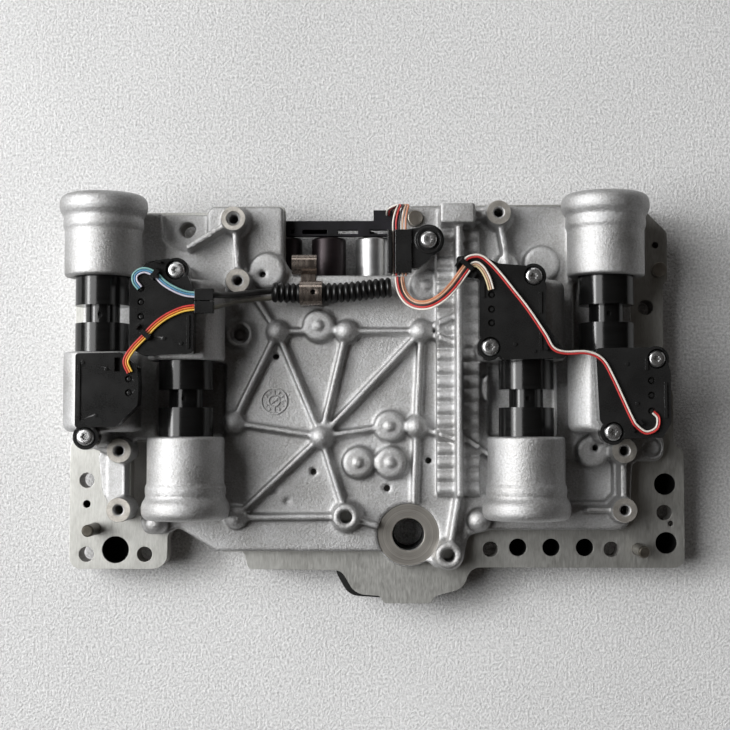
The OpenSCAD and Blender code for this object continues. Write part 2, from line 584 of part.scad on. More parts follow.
module upper_body() {
  port_face_d = 1.3;
  ring_h = 5;
  ring_d = 3;
  ring_r = [5, 3.2];
  low_boss_h = 11;
  dimple_r = 2;
  mouth_r = boss_r - 3;
  mouth_d = 2.5;
  color(cast_grey) difference() {
    union() {
      floor_plate();
      for (i = [0:3]) cylinder_pair(i);
      ear_columns();
      for (p = dome_at) dome(p);
      for (p = disc_at) nipple_disc(p);
      for (p = plain_disc_at) plain_disc(p);
      for (p = corner_boss_at) at(p, base_z) cylinder(r = boss_r, h = boss_h);
      for (p = upper_boss_at) boss(p, boss_r, boss_z);
      boss(low_boss, boss_r - 1, boss_z - 4);
      boss(ring_boss, boss_r + 0.6, floor_z + ring_h);
      boss(rib_boss, boss_r + 0.4, floor_z + low_boss_h);
      boss(corner_boss, boss_r + 0.6, floor_z + low_boss_h);
      for (r = ribs_at) rib(r[0], r[1], rib_w, rib_h);
      for (r = tall_ribs_at) rib(r[0], r[1], rib_w, tall_rib_h);
      gallery();
      port_boss();
    }
    for (i = [0:3]) cylinder_bores(i);
    for (i = [0:3]) for (e = ears[i])
      translate([axis_x[i] + e[0], tail_y[i] + e[1], seat_z - screw_grip - 1])
        cylinder(r = screw_r + fit, h = screw_grip + 2);
    at(guide_ear, guide_z - screw_grip - 1) cylinder(r = screw_r + fit, h = screw_grip + 2);
    for (p = dome_at) at(p, base_z - 1) cylinder(r = bolt_r + fit, h = base_t + 6);
    for (p = vent_at) at(p, base_z - 1) cylinder(r = vent_r, h = base_t + 2);
    for (p = dimple_at) at(p, floor_z - 1) cylinder(r = dimple_r, h = 2);
    for (p = disc_hole_at) at(p, base_z - 1) cylinder(r = vent_r, h = base_t + disc_h + 2);
    for (p = concat(corner_boss_at, upper_boss_at)) at(p, base_z - 1) cylinder(r = boss_hole_r, h = boss_h + 2);
    at(upper_boss_at[0], boss_z - mouth_d) cylinder(r = mouth_r, h = mouth_d + 1);
    at(ring_boss, floor_z + ring_h - ring_d) cylinder(r = ring_r[0], h = ring_d + 1);
    at(ring_boss, floor_z - 4) cylinder(r = ring_r[1], h = ring_h + 4);
    for (p = [rib_boss, corner_boss]) at(p, base_z - 1) cylinder(r = low_hole_r, h = base_t + low_boss_h + 2);
    at(port_at, base_z - 1) cylinder(r = port_r, h = base_t + 2);
    at(port_at, floor_z - port_face_d) cylinder(r = port_face_r, h = low_boss_h);
    at(short_dowel_cast_at, floor_z - cast_dowel_seat)
      cylinder(r = short_dowel_r + fit, h = cast_dowel_seat + 1);
    at(wing_recess, floor_z - wing_recess[2]) cylinder(r = wing_recess[2], h = wing_recess[2] + 1);
    at(well_hole_at, base_z - 1) cylinder(r = case_hole_r, h = base_t);
  }
}

module through_holes(h) {
  for (p = case_holes_at) at(p, -1) cylinder(r = case_hole_r, h = h + 2);
}
module separator_plate() {
  color(machined) translate([0, 0, plate_z]) difference() {
    linear_extrude(plate_t) polygon(rounded(plate_points));
    translate([0, 0, -1]) linear_extrude(plate_t + 2) polygon(rounded(relief_points));
    through_holes(plate_t);
    for (p = dark_ports_at) at(p, -1) cylinder(r = p[2], h = plate_t + 2);
    for (p = small_holes_at) at(p, -1) cylinder(r = p[2], h = plate_t + 2);
    for (p = dome_at) at(p, -1) cylinder(r = bolt_r + bolt_clear, h = plate_t + 2);
    for (p = long_dowel_at) at(p, -1) cylinder(r = long_dowel_r + fit, h = plate_t + 2);
    at(short_dowel_plate_at, -1) cylinder(r = short_dowel_r + fit, h = plate_t + 2);
    for (p = concat(vent_at, disc_hole_at)) at(p, -1) cylinder(r = vent_r + port_clear, h = plate_t + 2);
    at(port_at, -1) cylinder(r = port_r + port_clear, h = plate_t + 2);
  }
}

// The lower body has the plate's outline, less the solenoid recess and the adapter's place.
adapter_r = 21;
adapter_gap = 0.3;
adapter_points = [[-20, -84, 2], [-22.5, -92, 7], [-15, -105.5, 10], [1.5, -106.5, 2], [30, -106.5, 2],
                  [45, -101, 8], [49, -91, 5], [42, -84, 2]];
adapter_notch = [[-25, -120], [75, 36]];
module adapter_plan() {
  at(port_at, 0) circle(r = adapter_r);
  polygon(rounded(adapter_points));
}
module flange_undercut() {
  difference() {
    translate([0, 0, -1]) linear_extrude(lower_t - flange_t + 1) for (c = flange_cuts) polygon(rounded(c));
    for (p = dark_ports_at) at(p, -2) cylinder(r = p[2] + port_wall, h = lower_t);
  }
}
module lower_body() {
  color(cast_grey) difference() {
    linear_extrude(lower_t) polygon(rounded(plate_points));
    flange_undercut();
    translate([0, 0, lower_t - relief_d]) linear_extrude(relief_d + 1) polygon(rounded(relief_points));
    translate([recess_x[0], can_y, -1]) cube([recess_x[1] - recess_x[0], recess_l, lower_t + 2]);
    at(port_at, -1) cylinder(r = adapter_r + adapter_gap, h = lower_t + 2);
    at(adapter_notch[0], -1) cube([adapter_notch[1][0], adapter_notch[1][1], lower_t + 2]);
    through_holes(lower_t);
    for (p = dark_ports_at) at(p, lower_t - dark_port_d) cylinder(r = p[2], h = dark_port_d + 1);
    for (p = small_holes_at) at(p, lower_t - small_hole_d) cylinder(r = p[2], h = small_hole_d + 1);
    for (p = dome_at) {
      at(p, -1) cylinder(r = bolt_r + bolt_clear, h = lower_t + 2);
      at(p, -1) cylinder(r = bolt_head_r + head_clear, h = bolt_head_h + 2);
    }
    for (p = long_dowel_at) at(p, lower_t - long_dowel_seat)
      cylinder(r = long_dowel_r + fit, h = long_dowel_seat + 1);
    at(short_dowel_plate_at, lower_t - plate_dowel_seat)
      cylinder(r = short_dowel_r + fit, h = plate_dowel_seat + 1);
    for (i = SOLENOIDS) translate([can_x(i), can_y + 1, can_z]) rotate([90, 0, 0])
      cylinder(r = nose_r + fit, h = nose_l + 2.5);
    for (i = SPOOLS) translate([spool_x(i), spool_mouth_y - 1, spool_z]) along_y()
      cylinder(r = spool_r + run_fit, h = spool_bore_l + 1);
  }
}

module body_bolts() {
  tip = 4;
  color(zinc) for (p = dome_at) at(p, 1) {
    difference() {
      cylinder(r = bolt_head_r, h = bolt_head_h);
      translate([0, 0, -1]) cylinder(r = bolt_head_r / 2, h = bolt_head_h / 2 + 1, $fn = 6);
    }
    cylinder(r = bolt_r, h = floor_z + tip - 1);
  }
}
module long_dowels() {
  tip = 1;
  stem = long_dowel_seat + plate_t + long_dowel_h - tip;
  color(machined) for (p = long_dowel_at) at(p, lower_t - long_dowel_seat) {
    cylinder(r = long_dowel_r, h = stem);
    translate([0, 0, stem]) cylinder(r1 = long_dowel_r, r2 = long_dowel_r - 0.8, h = tip);
  }
}
module short_dowels() {
  color(machined) {
    at(short_dowel_plate_at, lower_t - plate_dowel_seat)
      cylinder(r = short_dowel_r, h = plate_dowel_seat + plate_t + short_dowel_h);
    at(short_dowel_cast_at, floor_z - cast_dowel_seat)
      cylinder(r = short_dowel_r, h = cast_dowel_seat + short_dowel_h);
  }
}

module port_adapter() {
  color(black) difference() {
    translate([0, 0, 0.5]) linear_extrude(lower_t - 0.5) adapter_plan();
    at(port_at, -1) cylinder(r = port_r - 0.7, h = lower_t + 2);
  }
}

module solenoid(i) {
  color([0.55, 0.55, 0.56]) translate([can_x(i), can_y, can_z]) {
    along_y() rotate_extrude()
      polygon([[0, 0], [can_r, 0], [can_r, can_l - 0.8], [can_r - 0.8, can_l], [0, can_l]]);
    rotate([90, 0, 0]) rotate_extrude() polygon([[0, -1], [nose_r, -1], [nose_r, nose_l * 0.3],
      [nose_r - 1, nose_l * 0.36], [nose_r - 1, nose_l * 0.46], [nose_r, nose_l * 0.52], [nose_r, nose_l * 0.8],
      [nose_r - 1.5, nose_l], [0, nose_l]]);
  }
}
module lead_frame() {
  slot_w = 2.3;
  slot_from = 1.2;
  end_gap = 0.3;
  tab_w = 10;
  tab_l = 1.6;
  tab_h = 7;
  socket = [20, 6.4, 10];
  bar_h = bar_z[1] - bar_z[0];
  color(black) difference() {
    union() {
      translate([recess_x[0] + end_gap, bar_y, bar_z[0]])
        cube([recess_x[1] - recess_x[0] - 2 * end_gap, bar_w, bar_h]);
      for (i = SOLENOIDS) translate([can_x(i) - tab_w / 2, can_y + can_l, can_z - 3])
        cube([tab_w, tab_l, tab_h]);
      translate([socket_x - socket[0] / 2, bar_y + bar_w - 1, bar_z[1] - 3 - socket[2]])
        cube([socket[0], socket[1] + 1, socket[2]]);
    }
    for (b = bar_slots) translate([can_x(b[0]) + b[1], bar_y + slot_from, bar_z[0] - 1])
      cube([b[2], slot_w, bar_h + 2]);
  }
}

module spool(i) {
  stem_r = spool_r - 2.2;
  land = spool_l / 5;
  color([0.70, 0.70, 0.70]) translate([spool_x(i), spool_seat_y, spool_z]) along_y()
    rotate_extrude() polygon([[0, 0], [spool_r, 0], [spool_r, land], [stem_r, land], [stem_r, 2 * land],
      [spool_r, 2 * land], [spool_r, 3 * land], [stem_r, 3 * land], [stem_r, 4 * land], [spool_r, 4 * land],
      [spool_r, spool_l - 0.6], [spool_r - 0.6, spool_l], [0, spool_l]]);
}
module spool_spring(i) {
  turns = 5;
  steps = 12;
  coil_r = spool_r - 1.3;
  rise = spring_l - 2 * spring_wire_r - 0.2;
  path = [for (k = [0:turns * steps]) [coil_r * cos(360 * k / steps), coil_r * sin(360 * k / steps),
    spring_wire_r + 0.1 + rise * k / (turns * steps)]];
  color(zinc) translate([spool_x(i), spool_seat_y - spring_l, spool_z]) along_y()
    tube(path, spring_wire_r, 0, 6);
}
module spool_plugs() {
  stem_r = 2;
  stem_l = spring_l - spool_travel - 0.1;
  color(machined) for (i = SPOOLS)
    translate([spool_x(i), spool_mouth_y + plug_inset, spool_z]) along_y() difference() {
      union() {
        cylinder(r = spool_r, h = plug_l);
        cylinder(r = stem_r, h = plug_l + stem_l);
      }
      translate([0, 0, -1]) cylinder(r = spool_r / 2, h = plug_l / 2, $fn = 6);
    }
}

module shift_piston(i) {
  edge = 0.8;
  half = piston_l / 2;
  profile = [[0, -half], [piston_r - edge, -half], [piston_r, -half + edge], [piston_r, -half + seal_from],
    [piston_r - seal_d, -half + seal_from], [piston_r - seal_d, -half + seal_from + seal_w],
    [piston_r, -half + seal_from + seal_w], [piston_r, -groove_w / 2], [neck_r, -groove_w / 2],
    [neck_r, groove_w / 2], [piston_r, groove_w / 2], [piston_r, half - seal_from - seal_w],
    [piston_r - seal_d, half - seal_from - seal_w], [piston_r - seal_d, half - seal_from],
    [piston_r, half - seal_from], [piston_r, half - edge], [piston_r - edge, half], [0, half]];
  color(black) at_axis(i) difference() {
    along_y() rotate_extrude() polygon(profile);
    translate([0, 0, neck_r - 1.5]) cylinder(r = 1.2, h = 3);
    translate([0, -half + seal_from + seal_w + magnet_from, piston_r - magnet_t - magnet_inset])
      cylinder(r = magnet_r + fit, h = magnet_t + 2);
  }
}
module piston_seals(i) {
  color([0.12, 0.10, 0.09]) at_axis(i) for (s = [-1, 1])
    translate([0, s * (piston_l / 2 - seal_from - seal_w / 2), 0]) along_y() difference() {
      cylinder(r = piston_r + run_fit / 2, h = seal_w - 2 * fit, center = true);
      cylinder(r = piston_r - seal_d + fit, h = seal_w + 1, center = true);
    }
}
module magnet(i) {
  color([0.3, 0.3, 0.32]) at_axis(i)
    translate([0, -piston_l / 2 + seal_from + seal_w + magnet_from, piston_r - magnet_t - magnet_inset])
      cylinder(r = magnet_r, h = magnet_t);
}

module sensor(i) {
  ear_ring = 1.2;
  color(black) translate([axis_x[i], tail_y[i], seat_z]) difference() {
    union() {
      linear_extrude(sensor_t) polygon(rounded(sensor_points[i]));
      for (e = ears[i]) at(e, 0) cylinder(r = ear_r, h = ear_t + ear_ring);
      for (r = ridges[i]) translate([r[0] - ridge_w / 2, r[1], sensor_t - 1])
        cube([ridge_w, r[2] - r[1], ridge_h + 1]);
      for (p = studs[i]) at(p, sensor_t - 1) cylinder(r = stud_r, h = stud_h + 1);
      for (h = hooks[i]) translate([h[0], h[1], sensor_t - 1]) rotate([0, 0, h[2]]) wire_hook(h[3]);
    }
    for (e = ears[i]) {
      at(e, -1) cylinder(r = screw_r + screw_clear, h = ear_t + 4);
      at(e, ear_t) cylinder(r = head_r + head_clear, h = sensor_t);
    }
    for (p = pockets[i]) at(p, sensor_t - pocket_d) difference() {
      cylinder(r = pocket_r, h = pocket_d + 1);
      translate([0, 0, -1]) cylinder(r = seal_r, h = seal_h + 1);
    }
    if (i == 0) for (w = windows) at(w[0], sensor_t - window_d) cube([w[1][0], w[1][1], window_d + 1]);
  }
}
// A hook that holds flat wires down: two posts across the wires, open between them.
module wire_hook(span) {
  post = 1.2;
  for (s = [-1, 1]) translate([-1.5, s * (span + post) / 2 - post / 2, 0]) cube([3, post, hook_h + 1]);
}

module sensor_screw() {
  lobe_r = 1.5;
  difference() {
    rotate_extrude() polygon([[0, -screw_grip - ear_t], [screw_r - 0.4, -screw_grip - ear_t],
      [screw_r, -screw_grip - ear_t + 0.6], [screw_r, 0], [head_r, 0], [head_r, head_h * 0.55],
      [head_r - 0.9, head_h], [0, head_h]]);
    translate([0, 0, head_h - 1.6]) cylinder(r = lobe_r, h = 3, $fn = 6);
  }
}
module sensor_screws() {
  color(zinc) {
    for (i = [0:3]) for (e = ears[i])
      translate([axis_x[i] + e[0], tail_y[i] + e[1], seat_z + ear_t]) sensor_screw();
    at(guide_ear, guide_z + ear_t) sensor_screw();
  }
}

module wire_guide() {
  low_y = guide_at[1] - guide_size[1] / 2;
  high_y = guide_at[1] + guide_size[1] / 2;
  color(black) translate([0, 0, guide_z]) difference() {
    union() {
      translate([guide_at[0] - guide_size[0] / 2, low_y, 0]) cube([guide_size[0], guide_size[1], guide_t]);
      at(guide_ear, 0) cylinder(r = guide_ear_r, h = ear_t);
      at(guide_ear, 0) difference() {
        cylinder(r = guide_rim[1], h = ear_t + guide_rim_h);
        cylinder(r = guide_rim[0], h = 2 * ear_t);
      }
      linear_extrude(ear_t) polygon([[guide_at[0] + slit_at + slit_w + 1, high_y - 0.5],
        [guide_ear[0] - 1, guide_ear[1] + guide_ear_r - 1], [guide_ear[0] + 5, guide_ear[1] - 6],
        [guide_ear[0] - 5, low_y + 3], [guide_at[0] + slit_at + slit_w + 1, low_y + 1]]);
    }
    translate([guide_at[0] - channel_w / 2, low_y - 1, channel_floor])
      cube([channel_w, guide_size[1] + 2, channel_h]);
    translate([guide_at[0] + slit_at, low_y - 1, channel_floor + 1]) cube([slit_w, guide_size[1] + 2, guide_t]);
    at(guide_ear, -1) cylinder(r = screw_r + screw_clear, h = ear_t + 2);
  }
}

// Points along a route at a given distance from its start.
function route_l(p) = len(p) < 2 ? 0 : norm(p[1] - p[0]) + route_l([for (i = [1:len(p) - 1]) p[i]]);
function walk(p, d, i = 0) =
  let (s = norm(p[i + 1] - p[i]))
  i >= len(p) - 2 || d <= s ? p[i] + (p[i + 1] - p[i]) * d / s : walk(p, d - s, i + 1);
module conduit() {
  valley = 0.9;
  steps = 3 * floor(route_l(conduit_route) / conduit_pitch);
  points = [for (k = [0:steps]) walk(conduit_route, route_l(conduit_route) * k / steps)];
  radii = [for (k = [0:steps]) k % 3 == 0 ? conduit_r - valley : conduit_r];
  color(black) tube(points, radii, 0, 12);
}
// Spring clip: a saddle over the conduit, a flat foot and an empty second saddle past the casting's edge.
module saddle(r, w) {
  rotate([0, 90, 0]) difference() {
    cylinder(r = r + clip_t, h = w, center = true);
    cylinder(r = r, h = w + 2, center = true);
    translate([0, -2 * r, -w]) cube([2 * r, 4 * r, 2 * w]);
  }
}
module conduit_clip() {
  inner = conduit_r + 0.3;
  width = 12;
  clip_x = -34.8;
  seat = [58.7, 43.7];
  hole = [1.2, 1.4];
  notch_w = 5.5;
  notch_h = 5;
  leaf_r = 4.7;
  leaf_w = 13.5;
  leaf_x = clip_x - 4.2;
  leaf_y = 75.4;
  foot_y = [seat[0] + inner, leaf_y - leaf_r - clip_t];
  color([0.42, 0.33, 0.26]) {
    translate([clip_x, seat[0], seat[1]]) difference() {
      saddle(inner, width);
      translate([hole[0], 0, 0]) cylinder(r = hole[1], h = 2 * inner);
    }
    difference() {
      for (s = [-1, 1])
        translate([clip_x - width / 2, seat[0] + s * (inner + clip_t / 2) - clip_t / 2, floor_z])
          cube([width, clip_t, seat[1] - floor_z + 0.2]);
      translate([clip_x - notch_w / 2, seat[0] - inner - 2 * clip_t, floor_z - 1])
        cube([notch_w, 4 * clip_t, notch_h + 1]);
    }
    translate([leaf_x - width / 2 + 4, foot_y[0], floor_z])
      cube([width - 4, foot_y[1] - foot_y[0] + 0.5, clip_t]);
    translate([leaf_x, leaf_y, floor_z]) saddle(leaf_r, leaf_w);
  }
}
module wire_tie() {
  color(black) translate(tie_at) {
    for (s = [-1, 1]) difference() {
      translate([-tie_size[0] / 2, s * tie_step - tie_size[1] / 2, 0]) cube(tie_size);
      translate([-tie_size[0] / 2 - 1, s * tie_step - tie_socket[1] / 2, (tie_size[2] - tie_socket[2]) / 2])
        cube([tie_socket[0] + 1, tie_socket[1], tie_socket[2]]);
      translate([tie_size[0] / 2 - 1.4, s * tie_step, tie_size[2] / 2]) rotate([0, 90, 0])
        cylinder(r = sleeve_r[0] + 0.2, h = tie_size[0]);
    }
    translate([-tie_size[0] / 4, -tie_step, -tie_strap])
      cube([tie_size[0] / 2, 2 * tie_step, 2 * tie_strap]);
  }
}

module inner_left_leads() color([0.45, 0.70, 0.75]) wires(inner_left_route, 3);
module outer_left_leads() color([0.85, 0.30, 0.10]) wires(outer_left_route, 3);
module left_trunk() color([0.18, 0.18, 0.16]) for (k = [0, 1]) tube(left_trunk_routes[k], sleeve_r[k]);
module guide_leads() color([0.80, 0.70, 0.60]) wires(guide_route, 5, [1, 0, 0]);
module right_loop() color([0.80, 0.25, 0.20]) wires(loop_route, 5);
module inner_right_leads() color([0.85, 0.75, 0.55]) wires(inner_right_route, 3);
module outer_right_leads() color([0.85, 0.15, 0.15]) wires(outer_right_route, 2);

lower_body();
separator_plate();
upper_body();
body_bolts();
long_dowels();
short_dowels();
lead_frame();
port_adapter();
spool_plugs();
sensor_screws();
wire_guide();
conduit();
conduit_clip();
wire_tie();
inner_left_leads();
outer_left_leads();
left_trunk();
guide_leads();
right_loop();
inner_right_leads();
outer_right_leads();
for (i = SOLENOIDS) solenoid(i);
for (i = SPOOLS) spool(i);
for (i = SPOOLS) spool_spring(i);
for (i = [0:3]) shift_piston(i);
for (i = [0:3]) piston_seals(i);
for (i = [0:3]) magnet(i);
for (i = [0:3]) sensor(i);
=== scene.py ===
"""Looks of a cast control valve body: smooth castings, machined faces, pistons, sensors, screws and wiring."""
import math

import bmesh
import bpy
from mathutils import Matrix, Vector


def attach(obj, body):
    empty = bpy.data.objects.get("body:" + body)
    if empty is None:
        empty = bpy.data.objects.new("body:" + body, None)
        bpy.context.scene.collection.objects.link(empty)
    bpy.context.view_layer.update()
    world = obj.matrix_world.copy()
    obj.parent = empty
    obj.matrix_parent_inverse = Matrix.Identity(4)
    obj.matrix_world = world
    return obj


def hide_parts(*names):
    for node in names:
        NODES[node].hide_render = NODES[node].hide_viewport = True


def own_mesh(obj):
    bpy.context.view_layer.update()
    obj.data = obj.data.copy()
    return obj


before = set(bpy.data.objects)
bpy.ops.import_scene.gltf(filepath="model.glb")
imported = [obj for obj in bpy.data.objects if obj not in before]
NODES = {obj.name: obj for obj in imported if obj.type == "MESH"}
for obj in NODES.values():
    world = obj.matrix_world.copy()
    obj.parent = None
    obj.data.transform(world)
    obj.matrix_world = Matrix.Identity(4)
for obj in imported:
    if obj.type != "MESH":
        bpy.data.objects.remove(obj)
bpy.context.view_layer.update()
MM = 0.001

# Heights, places and radii of the part's own features, in millimetres.
FLOOR_Z = 33.0
AXIS_Z = 54.0
BOSS_Z = 49.0
CYLINDERS = {
    "outer_left": (-145.0, 46.0),
    "inner_left": (-100.5, 1.5),
    "inner_right": (79.5, 1.5),
    "outer_right": (122.0, 46.0),
}
SCREW_PLACES = [(-148.5, -18.6, 78), (-102.5, 67.0, 78), (81.1, 63.7, 78), (58.9, 27.3, 78), (143.5, 21.1, 78),
                (121.2, -16.1, 78), (28.2, 86.1, 53)]
CORNER_BOSSES = [(-137, -57.5), (-137, -26), (132, -57.5), (132, -26)]
UPPER_BOSSES = [(-76.5, 98.5), (-74, 65), (66, 101.5)]
VENTS = [(-54.5, 25), (-34, -37.5), (6, -46.5), (28.5, -31.5), (-61.5, 69.5), (118, -24.5)]
LOW_BOSSES = [(-16, -61.5), (39, -82)]
PORT = (17.5, -71.5)
PORT_FACE_Z = FLOOR_Z - 1.3
# Blind ports, x, y and radius; their walls get near-black painted shade in the lower casting.
DARK_PORTS = [(77.5, -79, 4.8), (95.7, -79, 4.8), (114, -79, 4.8), (158.5, -76.5, 5.9), (158, -44.5, 5.9),
              (-143, -80.5, 7.4), (-159, -55.5, 2.1)]
DIAL = (-55.4, 0.9)
DIAL_TURN = 0.6
# Drilled and bored radii, a little over the solids' own, so that each cut goes clean through the softened walls.
BORE_R, BORE_HALF = 14.62, 53.9
BOSS_HOLE_R = 2.52
VENT_R = 1.67
LOW_HOLE_R = 3.32
PORT_R, PORT_FACE_R = 8.72, 16.82
# The softened casting's grid and the most triangles it keeps.
CASTING_GRID = 0.9
CASTING_TRIANGLES = 185000
# Camera and the point it looks at.
CAMERA_AT = (4.95, -17.6, 804)
CAMERA_AIM = (-6.05, 20.9, 24)


def shader_group(name, inputs, outputs):
    """An empty shader group with these sockets, as (tree, input node, output node)."""
    tree = bpy.data.node_groups.new(name, "ShaderNodeTree")
    for label, kind, value in inputs:
        sock = tree.interface.new_socket(label, in_out="INPUT", socket_type=kind)
        sock.default_value = value
    for label, kind in outputs:
        tree.interface.new_socket(label, in_out="OUTPUT", socket_type=kind)
    return tree, tree.nodes.new("NodeGroupInput"), tree.nodes.new("NodeGroupOutput")


def noise(tree, vector, scale, detail=3.0, rough=0.55):
    """Noise between 0 and 1; scale is a number or a socket."""
    n = tree.nodes.new("ShaderNodeTexNoise")
    n.inputs["Detail"].default_value = detail
    n.inputs["Roughness"].default_value = rough
    tree.links.new(vector, n.inputs["Vector"])
    if isinstance(scale, (int, float)):
        n.inputs["Scale"].default_value = scale
    else:
        tree.links.new(scale, n.inputs["Scale"])
    return n.outputs["Fac"]


def spread(tree, value, low, high, out_low, out_high):
    """Maps a value's range onto another, whose ends are numbers or sockets."""
    m = tree.nodes.new("ShaderNodeMapRange")
    tree.links.new(value, m.inputs["Value"])
    for label, number in (("From Min", low), ("From Max", high), ("To Min", out_low), ("To Max", out_high)):
        if isinstance(number, (int, float)):
            m.inputs[label].default_value = number
        else:
            tree.links.new(number, m.inputs[label])
    return m.outputs["Result"]


def blend_colours(tree, factor, a, b):
    """Colour a at factor 0, colour b at 1."""
    m = tree.nodes.new("ShaderNodeMix")
    m.data_type = "RGBA"
    tree.links.new(factor, m.inputs["Factor"])
    tree.links.new(a, m.inputs[6])
    tree.links.new(b, m.inputs[7])
    return m.outputs[2]


def add_values(tree, a, b, share):
    """a * (1 - share) + b * share, with share a number or a socket."""
    m = tree.nodes.new("ShaderNodeMix")
    if isinstance(share, (int, float)):
        m.inputs["Factor"].default_value = share
    else:
        tree.links.new(share, m.inputs["Factor"])
    tree.links.new(a, m.inputs[2])
    tree.links.new(b, m.inputs[3])
    return m.outputs[0]


def skin_group():
    """Fine grain over soft blotches, for castings, plastics and rubber."""
    tree, i, o = shader_group(
        "skin",
        [("Light", "NodeSocketColor", (0.8, 0.8, 0.8, 1)), ("Dark", "NodeSocketColor", (0.6, 0.6, 0.6, 1)),
         ("Grain Scale", "NodeSocketFloat", 1500.0), ("Grain Share", "NodeSocketFloat", 0.45),
         ("Blotch Scale", "NodeSocketFloat", 60.0),
         ("Smoothest", "NodeSocketFloat", 0.4), ("Roughest", "NodeSocketFloat", 0.6)],
        [("Color", "NodeSocketColor"), ("Roughness", "NodeSocketFloat"), ("Height", "NodeSocketFloat")])
    at = tree.nodes.new("ShaderNodeTexCoord").outputs["Object"]
    grain = noise(tree, at, i.outputs["Grain Scale"], 4.0, 0.65)
    blotch = noise(tree, at, i.outputs["Blotch Scale"], 3.0, 0.5)
    tone = spread(tree, add_values(tree, blotch, grain, i.outputs["Grain Share"]), 0.36, 0.64, 0.0, 1.0)
    tree.links.new(blend_colours(tree, tone, i.outputs["Dark"], i.outputs["Light"]), o.inputs["Color"])
    mixed = add_values(tree, grain, blotch, 0.5)
    rough = spread(tree, mixed, 0.3, 0.7, i.outputs["Smoothest"], i.outputs["Roughest"])
    tree.links.new(rough, o.inputs["Roughness"])
    tree.links.new(grain, o.inputs["Height"])
    return tree


def brushed_group():
    """Fine parallel tool marks along one axis, for milled and ground faces."""
    tree, i, o = shader_group(
        "tool_marks",
        [("Light", "NodeSocketColor", (0.7, 0.7, 0.66, 1)), ("Dark", "NodeSocketColor", (0.4, 0.4, 0.36, 1)),
         ("Stretch", "NodeSocketVector", (900.0, 12.0, 400.0)), ("Stain Scale", "NodeSocketFloat", 35.0),
         ("Smoothest", "NodeSocketFloat", 0.25), ("Roughest", "NodeSocketFloat", 0.45)],
        [("Color", "NodeSocketColor"), ("Roughness", "NodeSocketFloat"), ("Height", "NodeSocketFloat")])
    at = tree.nodes.new("ShaderNodeTexCoord").outputs["Object"]
    lengthen = tree.nodes.new("ShaderNodeVectorMath")
    lengthen.operation = "MULTIPLY"
    tree.links.new(at, lengthen.inputs[0])
    tree.links.new(i.outputs["Stretch"], lengthen.inputs[1])
    marks = noise(tree, lengthen.outputs[0], 1.0, 3.0, 0.6)
    stain = noise(tree, at, i.outputs["Stain Scale"], 4.0, 0.6)
    tone = spread(tree, add_values(tree, stain, marks, 0.55), 0.34, 0.66, 0.0, 1.0)
    tree.links.new(blend_colours(tree, tone, i.outputs["Dark"], i.outputs["Light"]), o.inputs["Color"])
    rough = spread(tree, marks, 0.3, 0.7, i.outputs["Smoothest"], i.outputs["Roughest"])
    tree.links.new(rough, o.inputs["Roughness"])
    tree.links.new(marks, o.inputs["Height"])
    return tree


def turned_group():
    """Fine rings round one centre, for faces cut by a turning tool."""
    tree, i, o = shader_group(
        "turned_marks",
        [("Light", "NodeSocketColor", (0.6, 0.6, 0.56, 1)), ("Dark", "NodeSocketColor", (0.4, 0.4, 0.36, 1)),
         ("Centre", "NodeSocketVector", (0.0, 0.0, 0.0)), ("Ring Scale", "NodeSocketFloat", 1500.0),
         ("Smoothest", "NodeSocketFloat", 0.25), ("Roughest", "NodeSocketFloat", 0.45)],
        [("Color", "NodeSocketColor"), ("Roughness", "NodeSocketFloat"), ("Height", "NodeSocketFloat")])
    at = tree.nodes.new("ShaderNodeTexCoord").outputs["Object"]

    def vector_step(operation, a, b):
        n = tree.nodes.new("ShaderNodeVectorMath")
        n.operation = operation
        tree.links.new(a, n.inputs[0])
        if isinstance(b, tuple):
            n.inputs[1].default_value = b
        elif b:
            tree.links.new(b, n.inputs[1])
        return n

    flat = vector_step("MULTIPLY", vector_step("SUBTRACT", at, i.outputs["Centre"]).outputs[0], (1, 1, 0))
    away = vector_step("LENGTH", flat.outputs[0], None).outputs["Value"]
    rings = tree.nodes.new("ShaderNodeCombineXYZ")
    tree.links.new(away, rings.inputs["X"])
    marks = noise(tree, rings.outputs[0], i.outputs["Ring Scale"], 3.0, 0.6)
    stain = noise(tree, at, 60.0, 3.0, 0.55)
    tone = spread(tree, add_values(tree, stain, marks, 0.6), 0.34, 0.66, 0.0, 1.0)
    tree.links.new(blend_colours(tree, tone, i.outputs["Dark"], i.outputs["Light"]), o.inputs["Color"])
    rough = spread(tree, marks, 0.3, 0.7, i.outputs["Smoothest"], i.outputs["Roughest"])
    tree.links.new(rough, o.inputs["Roughness"])
    tree.links.new(marks, o.inputs["Height"])
    return tree


SKIN = skin_group()
TOOL_MARKS = brushed_group()
TURNED = turned_group()


def finish(name, group, values, metallic, bump_mm, settings=()):
    """A material: a shared group feeds colour, roughness and bump of a plain Principled shader."""
    mat = bpy.data.materials.new(name)
    mat.use_nodes = True
    tree = mat.node_tree
    shader = tree.nodes["Principled BSDF"]
    skin = tree.nodes.new("ShaderNodeGroup")
    skin.node_tree = group
    for label, value in values.items():
        skin.inputs[label].default_value = value
    tree.links.new(skin.outputs["Color"], shader.inputs["Base Color"])
    tree.links.new(skin.outputs["Roughness"], shader.inputs["Roughness"])
    bump = tree.nodes.new("ShaderNodeBump")
    bump.inputs["Strength"].default_value = 0.6
    bump.inputs["Distance"].default_value = bump_mm * MM
    tree.links.new(skin.outputs["Height"], bump.inputs["Height"])
    tree.links.new(bump.outputs["Normal"], shader.inputs["Normal"])
    shader.inputs["Metallic"].default_value = metallic
    for label, value in settings:
        shader.inputs[label].default_value = value
    return mat


def grey(v, warm=0.0):
    """A grey of this brightness, a little towards yellow where warm is above 0."""
    return (v * (1 + warm), v, v * (1 - 1.6 * warm), 1)


